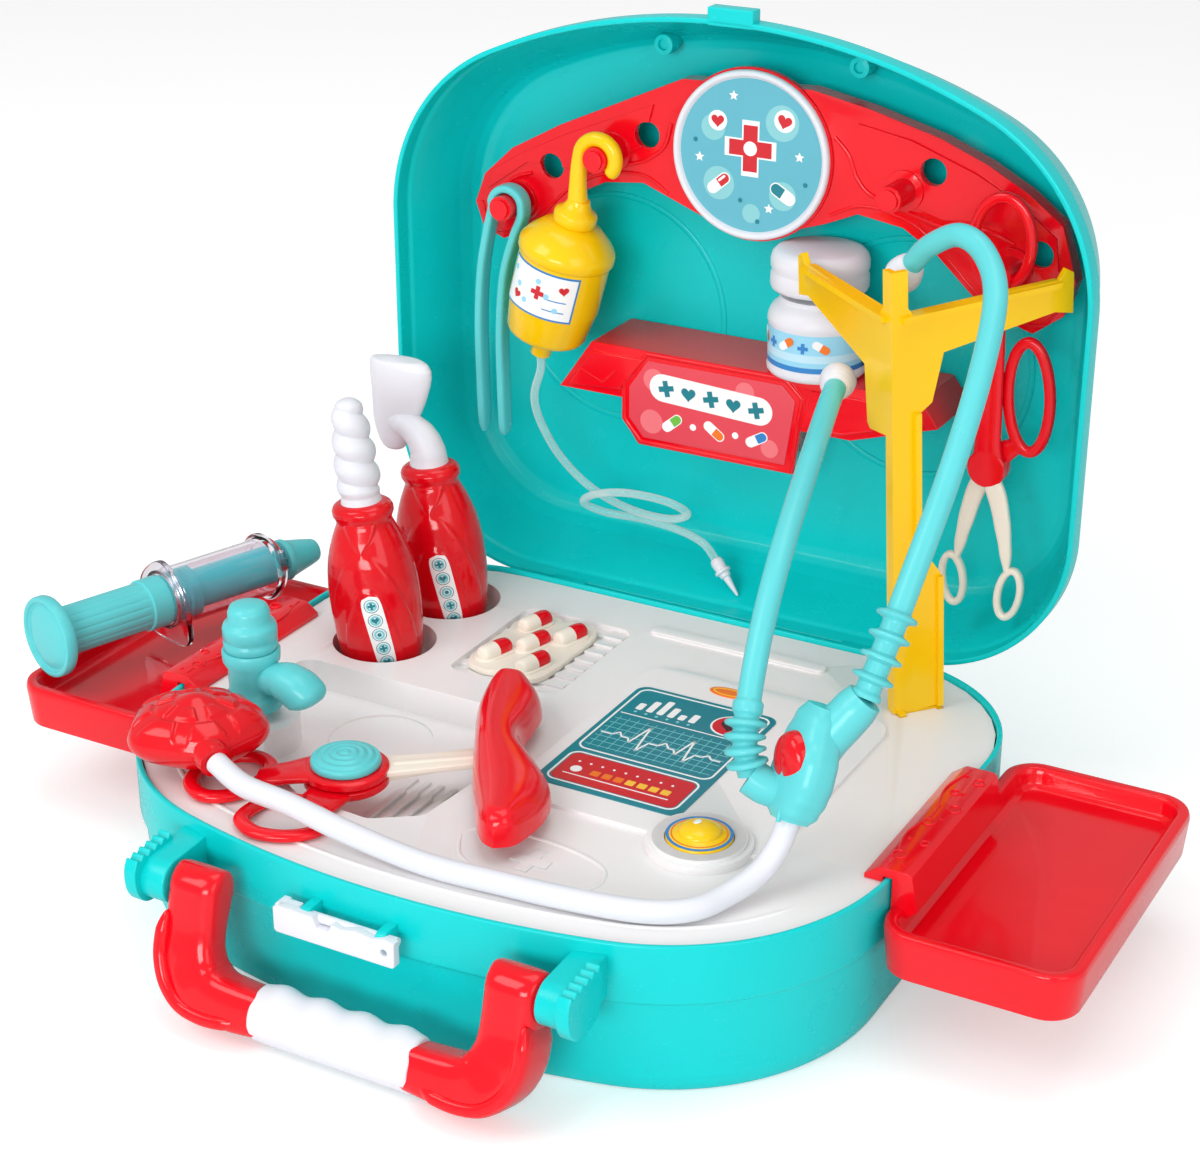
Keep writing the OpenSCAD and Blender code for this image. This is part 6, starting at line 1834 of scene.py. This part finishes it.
@dataclass
class CupTool:
    """A red handle that stands in a cup of the deck, with nested raised arches and a leaf at its shoulder.

    Attributes:
        name: Name that its pieces start with.
        at: Middle of its cup.
        tilt: Tilt about X and Y in degrees.
        body: Its body.
        node: The handle's node.
    """

    name: str
    at: tuple[float, float]
    tilt: tuple[float, float]
    body: str
    node: str

    def place(self) -> Matrix:
        """Return the transform from the tool's own frame, its foot at zero."""
        a, b = self.tilt
        return Matrix.Translation((*self.at, CUP_FOOT)) @ turned("Y", b) @ turned("X", a)

    def radius(self, g: Array, z: Array) -> Array:
        """Return the handle's radius at angles and heights.

        Formula: the bottle's profile, plus a step of 0.8 mm inside each arch z = top (1 - |t / k|^2.3), t being the
        angle off the front or back, and one of 0.8 mm in the leaf that hangs from the collar.
        """
        heights = (0, 0.6, 2, 6, 10, 16, 22, 28, 34, 40, 46, 51.5, 57, 61.5, 65, 67, 68.4, 69.4, 71, 73, 74.6, 75.6, 76)
        radii = (13.2, 14.3, 15.3, 16.6, 17.6, 18.5, 19.2, 19.6, 19.7, 19.5, 18.9, 17.9, 16.3, 14.6, 13.0, 12.1, 11.9,
                 12.4, 13.2, 13.2, 12.4, 11.0, 9.2)
        r = np.interp(z, heights, radii)
        for face in (-68, 112):
            t = np.abs((g - math.radians(face) + math.pi) % (2 * math.pi) - math.pi)
            for top, k in ((57, 1.32), (43, 0.8)):
                arch = top * (1 - np.minimum(t / k, 1.3) ** 2.3)
                r = r + 0.8 / (1 + np.exp(-(arch - z) * 1.5)) / (1 + np.exp((3.4 - z) * 2))
            leaf = 68.6 - 11.5 * np.clip(1 - t / 0.62, 0, 1)
            r = r + 0.8 / (1 + np.exp((leaf - z) * 2.2)) * (t < 0.62) / (1 + np.exp((z - 68.4) * 6))
        return r

    def skin(self) -> Shape:
        """Shape the handle from its radius, a little flatter from front to back."""
        z = np.concatenate([np.linspace(0, 3, 7), np.linspace(3.6, 70, 120), np.linspace(70.4, 76, 16)])[:, None]
        g = 2 * np.pi * np.arange(200)[None, :] / 200
        r = self.radius(g + 0 * z, z + 0 * g)
        return loft(np.stack([r * np.cos(g), 0.92 * r * np.sin(g), np.broadcast_to(z, r.shape)], -1))

    def stuck(self, shape: Shape, angle: float, z: float, tilt: float, lift: float) -> Shape:
        """Bend a flat shape round the handle: X runs round it, Y up and Z away from its surface."""
        v, f = moved(shape, turned("Z", tilt))
        g = math.radians(angle) + v[:, 0] / 20
        h = z + v[:, 1]
        r = self.radius(g, h) + lift + v[:, 2]
        return moved((np.column_stack([r * np.cos(g), 0.92 * r * np.sin(g), h]), f), self.place())

    def strip(self) -> None:
        """Stick the narrow printed strip on the front: pale edge, teal discs with dots, plus signs and hearts."""
        u = np.linspace(-1, 1, 33)
        half = 4.2 * (1 - np.abs(u) ** 9) ** (1 / 3) + 0.02
        x = np.linspace(-1, 1, 9)[None, :] * half[:, None]
        y = np.broadcast_to(17.6 * u[:, None], x.shape)
        low, top = np.stack([x, y, 0 * x - 0.3], -1), np.stack([x, y, 0 * x], -1)[:, ::-1]
        band = self.stuck(loft(np.concatenate([low, top], 1)), -57, 23.4, 7, 0.22)
        piece(self.name + "_strip_edge", band, self.body, INK_WHITE, "", FIRM)
        for look, make, step in ((INK_TEAL, lambda p: circle(p, 3.0, 28), 0.16),
                                 (INK_PALE, lambda p: circle(p, 2.2, 24), 0.2), (INK_TEAL, None, 0.24)):
            marks = []
            for i in range(5):
                p = (0, 13.2 - 6.6 * i)
                loop = make(p) if make else (plus(p, 1.5), heart(p, 1.5), circle(p, 0.9, 16))[i % 3]
                marks.append(self.stuck(plate([loop], 0.06, 0.0), -57, 23.4, 7, step + 0.04))
            piece(f"{self.name}_strip_{look.name}_{int(step * 100)}", join(*marks), self.body, look, "", CRISP)

    def build(self) -> None:
        """Make the handle and its strip."""
        piece(self.name + "_handle_skin", moved(self.skin(), self.place()), self.body, CRIMSON, self.node, SMOOTH)
        self.strip()


@dataclass
class ToolHeads:
    """The drill's spiral tip and the mirror's bent neck and lobe."""

    def drill(self, place: Matrix) -> Shape:
        """Shape the tip.

        Formula: r(g, z) = cone(z) + 0.95 (2 |sin(w / 2)|^0.8 - 1) with w = g + 2 pi z / 10.4, the ridge fading in
        at the foot and out at the top.
        """
        z = np.concatenate([np.linspace(76, 118, 110), 118 + 2.6 * np.sin(np.linspace(0.1, math.pi / 2, 10))])
        g = 2 * np.pi * np.arange(72) / 72
        cone = np.interp(z, [76, 79, 84, 100, 114, 118, 119.6, 120.4, 120.6],
                         [8.6, 8.0, 8.6, 8.0, 6.4, 5.4, 4.0, 2.2, 0.4])
        wave = 2 * np.pi * z[:, None] / 10.4 + g[None, :]
        ridge = 0.95 * (np.abs(np.sin(wave / 2)) ** 0.8 * 2 - 1) * np.clip((z[:, None] - 79) / 3, 0, 1)
        ridge = ridge * np.clip((119.4 - z[:, None]) / 5, 0, 1)
        r = cone[:, None] + ridge
        return moved(loft(np.stack([r * np.cos(g), r * np.sin(g), np.broadcast_to(z[:, None], r.shape)], -1)), place)

    def mirror(self, place: Matrix) -> Shape:
        """Shape the bent neck and the rounded lobe above it."""
        neck = spline([(0, 0, 76), (0, 0, 82), (-2.5, 0, 88), (-8, 0, 92.4), (-16, 0, 94.6)], 10)
        n_w = stretch([8.4, 7.8, 7.3, 6.8, 6.2, 5.4, 3.4], len(neck))
        lobe = spline([(-19, 3, 80), (-17.6, 3, 92), (-13, 3, 106), (-10, 3, 118), (-9.4, 3, 121.5)], 28)
        at = np.linspace(0, 1, len(lobe))
        knots = (0, 0.02, 0.06, 0.14, 0.26, 0.4, 0.52, 0.62, 0.7, 0.78, 0.86, 0.93, 0.98, 1)
        l_w = np.interp(at, knots, (0.6, 3.6, 5.6, 7.6, 10, 12.2, 13.8, 14.9, 15.3, 14.9, 13.1, 9.8, 5.6, 0.8))
        l_h = np.interp(at, knots, (0.5, 2.6, 3.8, 4.8, 5.6, 6.2, 6.4, 6.4, 6.3, 6.0, 5.4, 4.4, 2.8, 0.6))
        return moved(join(along(neck, n_w, n_w, 44, FORWARD), along(lobe, l_w, l_h, 72, FORWARD)), place)

    def build(self, drill: CupTool, mirror: CupTool) -> None:
        """Make both heads on their handles."""
        piece("drill_spiral", self.drill(drill.place()), "drill", WHITE, "drill_tip", SMOOTH)
        piece("mirror_lobe", self.mirror(mirror.place()), "mirror", WHITE, "mirror_head", SOFT)


# ---------------------------------------------------------------- toys that lie on the deck


BOARD = [(-68, 52), (-66, 42), (-58, 38.4), (-52, 39), (-49.6, 42.2), (-47.2, 39), (-41, 38.4), (-33, 42), (-30.6, 52),
         (-30.4, 68), (-30.4, 83), (-33, 93), (-41, 96.6), (-47.2, 96), (-49.6, 92.8), (-52, 96), (-58, 96.6),
         (-66, 93), (-68, 83), (-67, 75), (-68, 67)]


@dataclass
class Pills:
    """The pill board with its raised pods, and the two-coloured pills.

    Attributes:
        foot: Height of the board's foot.
        turn: Turn of every pill in degrees.
        spots: X and Y of each pill.
    """

    foot: float = 57.95
    turn: float = 74.0
    spots: tuple = ((-58.6, 84.6), (-39, 80.6), (-49.4, 67.4), (-59.6, 53), (-39.6, 50.4))

    def capsule(self, x: float, y: float, half: int) -> Shape:
        """Shape one half of a pill: a half capsule lying in its pod."""
        s = np.linspace(0, 1, 14)
        r = 4.0 * np.clip(1 - s**3.4, 0, 1) ** 0.5
        path = np.column_stack([half * 8.0 * np.sin(s * math.pi / 2), np.zeros(14), np.zeros(14)])
        shape = along(path, np.maximum(r, 0.15), np.maximum(r, 0.15) * 0.94, 28, (0, 0, 1))
        return moved(shape, Matrix.Translation((x, y, self.foot + 4.4)) @ turned("Z", self.turn))

    def build(self) -> None:
        """Make the board, the pods and the pills."""
        z = self.foot
        board = moved(plate([spline(BOARD, 6, True)], 2.6, 0.5), by=(0, 0, z))
        pods = [moved(plate([tablet((0, 0), 19.4, 10.6, 0)], 1.5, 0.7), Matrix.Translation((x, y, z + 2))
                      @ turned("Z", self.turn)) for x, y in self.spots]
        piece("board_plate", join(board, *pods), "pill_board", CREAM, "pill_board", ROUND)
        piece("pill_red_halves", join(*[self.capsule(*p, 1) for p in self.spots]), "pill_board", CRIMSON, "pills", SOFT)
        piece("pill_cream_halves", join(*[self.capsule(*p, -1) for p in self.spots]), "pill_board", CREAM, "", SOFT)


@dataclass
class Dish:
    """The kidney dish, lying upside down: a smooth hump over a hollow.

    Attributes:
        foot: Height of its rim.
        high: Its height.
        wall: Its wall.
    """

    foot: float = FLAT_Z + 6.6
    high: float = 13.0
    wall: float = 2.0

    def side(self, points: Sequence, count: int) -> Array:
        """Return one long side of the outline, its points closer together near both ends."""
        p = spline(points, 16)
        s = run(p)
        u = (1 - np.cos(np.linspace(0, math.pi, count))) / 2 * s[-1]
        return np.column_stack([np.interp(u, s, p[:, 0]), np.interp(u, s, p[:, 1])])

    def build(self) -> None:
        """Shape the dish across its length.

        Formula: at u across from -1 to 1 the top is h (1 - |u|^3.4)^(1/2.2), h falling off where the dish is narrow;
        the hollow below it is the same curve drawn in by the wall.
        """
        n = 81
        left = self.side([(-28.2, 16.2), (-33.4, 12.6), (-33.6, 4), (-28, -12), (-17, -32), (-3, -56), (12, -78),
                          (17.4, -85.4), (22.6, -90), (27.6, -91.4)], n)
        right = self.side([(-28.2, 16.2), (-20.4, 14.4), (-8.6, 5), (-4, -8), (-1, -22), (5, -32), (17, -41.4),
                           (29, -52.6), (34, -66), (34.4, -78), (33, -86.6), (27.6, -91.4)], n)
        width = np.linalg.norm(right - left, axis=1)[:, None]
        h = self.high * np.clip(width / 16, 0.02, 1) ** 0.36
        u = -np.cos(np.linspace(0, math.pi, 33))[None, :]
        keep = np.clip(1 - 2 * self.wall / np.maximum(width, 4.4), 0.05, 1)

        def skin(k: Array, z: Array) -> Array:
            """Return one skin across the whole length."""
            f = ((k * u + 1) / 2)[..., None]
            xy = left[:, None] * (1 - f) + right[:, None] * f
            return np.concatenate([xy, (self.foot + z)[..., None]], -1)

        arch = (1 - np.abs(u) ** 3.4) ** (1 / 2.2)
        top = skin(np.ones_like(width), h * arch)
        low = skin(keep, np.maximum(h - self.wall, 0.1) * arch)[:, ::-1]
        piece("dish_leaf", loft(np.concatenate([top, low], 1)), "kidney_dish", RED, "kidney_dish", SOFT)


@dataclass
class Syringe:
    """The toy syringe on the left tray: clear barrel, aqua plunger and nozzle.

    Attributes:
        start: Middle of the thumb disc's face.
        end: Tip of the nozzle.
        radius: Radius of the barrel.
        flange: Distance of the finger flange from the start.
        barrel: End of the barrel.
    """

    start: tuple[float, float, float] = (-221.0, -41.0, 69.6)
    end: tuple[float, float, float] = (-178.0, 92.0, 67.8)
    radius: float = 13.0
    flange: float = 58.0
    barrel: float = 116.0

    def place(self) -> Matrix:
        """Return the transform that lays Z along the syringe, as the part does."""
        d = np.array(self.end) - np.array(self.start)
        n = float(np.linalg.norm(d))
        swing = turned("Z", math.degrees(math.atan2(d[1], d[0])))
        return Matrix.Translation(self.start) @ swing @ turned("Y", math.degrees(math.acos(d[2] / n)))

    def build(self) -> None:
        """Make the barrel, the hollow plunger, and the nozzle with the core on which the plunger slides."""
        m, r, f, b = self.place(), self.radius, self.flange, self.barrel
        tube = [(r - 1.5, f), (r, f), (r, b - 6.2), (r + 1.2, b - 6), (r + 2.2, b - 5.2), (r + 2.2, b - 3.8),
                (r + 1.2, b - 3), (r, b - 2.8), (r - 0.4, b - 0.6), (r - 1.6, b), (6.2, b), (6.2, b + 4.5),
                (3, b + 4.5), (3, b - 2), (r - 1.5, b - 2), (r - 1.5, f)]
        three = spline([(-17.6, 0), (-9, -14), (3, -18.6), (16, -17.4), (18.4, 0), (16, 17.4), (3, 18.6), (-9, 14)], 8,
                       True)
        flange = moved(plate([three, circle((0, 0), r - 1.5, 64)[::-1]], 2.6, 0.6), by=(0, 0, f))
        piece("syringe_tube", moved(lathe(tube, 72), m), "syringe", CLEAR, "syringe_barrel", ROUND)
        piece("syringe_flange", moved(flange, m), "syringe", CLEAR, "", ROUND)
        rod = [(0, 0.3), (5, 0.35), (10, 0.7), (13, 1.3), (14.2, 1.9), (14.8, 1.6), (15.4, 0.6), (16.2, 0.3),
               (17.1, 0.6), (17.5, 1.5), (17.5, 4.4), (16.9, 5.6), (15.8, 6.1), (11.2, 6.2), (10.4, 7), (10.4, 8),
               *[(10.4, v) for v in np.linspace(8.6, 46, 12)], (10.4, 46.6), (10.4, 47.4), (11.3, 48), (11.3, f - 1),
               (10.6, f - 0.4), (10.4, f + 8), (11.3, f + 9), (11.3, f + 13.6), (10.9, f + 14), (8.9, f + 14),
               (8.9, f - 35), (0, f - 35)]
        v, faces = lathe(rod, 144)
        turn = np.arctan2(v[:, 1], v[:, 0])
        flute = 1 + 0.028 * (np.abs(np.cos(9 * turn)) ** 0.5 - 0.8) * ((v[:, 2] > 8.3) & (v[:, 2] < 46.3))
        fluted = (v * np.column_stack([flute, flute, np.ones(len(v))]), faces)
        piece("syringe_rod", moved(fluted, m), "plunger", AQUA, "syringe_plunger", CRISP)
        n = b + 4.5
        tip = [(0, f + 5), (8, f + 5), (8.6, f + 5.6), (8.6, b - 2.3), (2.7, b - 2.3), (2.7, n), (9, n), (9.4, n + 0.4),
               (9.4, n + 2.4), (8.8, n + 3), (8, n + 6.4), (6.5, n + 13.4), (5.4, 138.4), (4.9, 139.4), (4.2, 139.79),
               (0, 139.79)]
        piece("syringe_tip", moved(lathe(tip, 56), m), "syringe", AQUA, "syringe_nozzle", ROUND)


@dataclass
class Scissors:
    """The scissors: round-barred finger rings, two hubs on one pin, cream blades and a domed cap.

    Attributes:
        hub: X and Y of the hub.
        radius: Radius of the hub.
    """

    hub: tuple[float, float] = (-52.0, -67.0)
    radius: float = 16.4

    def ring(self, points: Sequence, z: float, high: float) -> Shape:
        """Shape a finger ring as a rounded bar along its outline."""
        loop = spline(points, 10, True)
        area = np.sum(loop[:, 0] * np.roll(loop[:, 1], -1) - loop[:, 1] * np.roll(loop[:, 0], -1))
        path = inset(loop if area > 0 else loop[::-1], 3.1)
        path = np.column_stack([path, np.full(len(path), z)])
        return along(np.vstack([path, path[:2]]), 3.1, high, 24, (0, 0, 1), 0.3)

    def hub_disc(self, z: float) -> Shape:
        """Shape one hub."""
        r = self.radius
        disc = [(0, z), (r - 0.9, z), (r - 0.1, z + 0.7), (r, z + 1.9), (r - 0.1, z + 3), (r - 1, z + 3.7),
                (r - 2, z + 3.8), (0, z + 3.8)]
        return moved(lathe(disc, 72), by=(*self.hub, 0))

    def blade(self, angle: float, z: float) -> Shape:
        """Shape one blade with a low ridge along it."""
        loop = np.array([(14, -6.8), (60, -4.4), (66, -1.6), (68, 0.8), (66.4, 4.2), (58, 5.6), (14, 6.9)])
        line = [(18, 0.4, 2.4), (34, 0.4, 2.4), (50, 0.4, 2.4), (60, 0.4, 2.35)]
        ridge = along(spline(line, 6), stretch([1.6, 1.6, 0.3], 19), 0.45, 12)
        return moved(join(plate([loop], 2.4, 0.6), ridge), turned("Z", angle), (*self.hub, z))

    def build(self) -> None:
        """Make both halves, the blades and the cap."""
        z = FLAT_Z
        low = [(-54, -87), (-67, -91), (-72, -102), (-70, -114), (-58, -120), (-44, -116), (-36, -106), (-40, -93)]
        top = [(-75, -91), (-80, -103), (-91, -108), (-103, -101), (-107, -87), (-102, -74), (-90, -68), (-78, -74)]
        arm_low = spline([(-50, -92, z + 2), (-50, -84, z + 2), (-51, -74, z + 2), (-52, -68, z + 2)], 6)
        arm_top = spline([(-80, -84, z + 2.6), (-72, -80, z + 4.4), (-62, -73, z + 5.7), (-54, -68, z + 5.8)], 6)
        arm = along(arm_low, stretch([8, 8.6, 10, 11], 19), 1.9, 24, square=1)
        half = join(self.ring(low, z + 2.0, 2.0), self.hub_disc(z), arm)
        piece("scissor_low_red", half, "base", RED, "scissor_half_low", ROUND)
        arm = along(arm_top, stretch([5.5, 7.6, 10, 11], 19), stretch([2.2, 2.0, 1.9], 19), 24, square=1)
        half = join(self.ring(top, z + 2.4, 2.3), self.hub_disc(z + 3.9), arm)
        piece("scissor_top_red", half, "scissor_top", RED, "scissor_half_top", ROUND)
        piece("scissor_low_blade", self.blade(46, z + 1.3), "base", CREAM, "scissor_blades_low", FIRM)
        piece("scissor_top_blade", self.blade(38, z + 4), "scissor_top", CREAM, "scissor_blades_top", FIRM)
        r = np.linspace(12.6, 0, 40)
        swirl = [(v, z + 7.75 + 3.2 + 2.1 * (1 - (v / 12.6) ** 2) + 0.22 * math.sin(v * 2 * math.pi / 3.1)) for v in r]
        dome = [(0, z + 7.75), (12.8, z + 7.75), (13.4, z + 8.3), (13.4, z + 9.9), (13.1, z + 10.6), *swirl]
        piece("scissor_dome", moved(lathe(dome, 72), by=(*self.hub, 0)), "base", AQUA, "scissor_cap", SOFT)


CARRIED = (
    ("deck_panel", "base", DECK, 0.5), ("deck_screws", "base", STEEL, 0.2), ("button_spring", "base", SPRING, 0.0),
    ("iv_stand", "stand", YELLOW, 0.4), ("hanger_rack", "lid", RED, 0.5), ("medicine_shelf", "lid", RED, 0.5),
    ("lid_screws", "lid", STEEL, 0.2),
)


def main() -> None:
    """Build camera and cords first, then the pieces."""
    logging.basicConfig(level=logging.INFO, format="%(name)s: %(message)s")
    Studio().build()
    drip = DripBottle()
    Cord("drip_tube_line", DRIP_ROUTE, 3.6, "drip", "drip_tube", TUBE, "fitting", (drip.needle(),)).build()
    Cord("steth_hose_line", HOSE_ROUTE, 8.6, "stethoscope", "steth_hose", WHITE).build()
    drill = CupTool("drill", (-108, 43), (0.8, -6.2), "drill", "drill_handle")
    mirror = CupTool("mirror", (-106, 92), (0.6, -6.4), "mirror", "mirror_handle")
    for part in (BaseShell(), LidShell(), DeckRelief(), Monitor(), Button(), Handle(), Latch(), Tray(), Tap(), Rack(),
                 Shelf(), Stethoscope(), drip, PillBottle(), Tweezers(), Forceps(), drill, mirror, Pills(), Dish(),
                 Syringe(), Scissors()):
        part.build()
    ToolHeads().build(drill, mirror)
    for node, body, look, bevel in CARRIED:
        cad_copy(node, body, look, bevel)


if __name__ == "__main__":
    main()
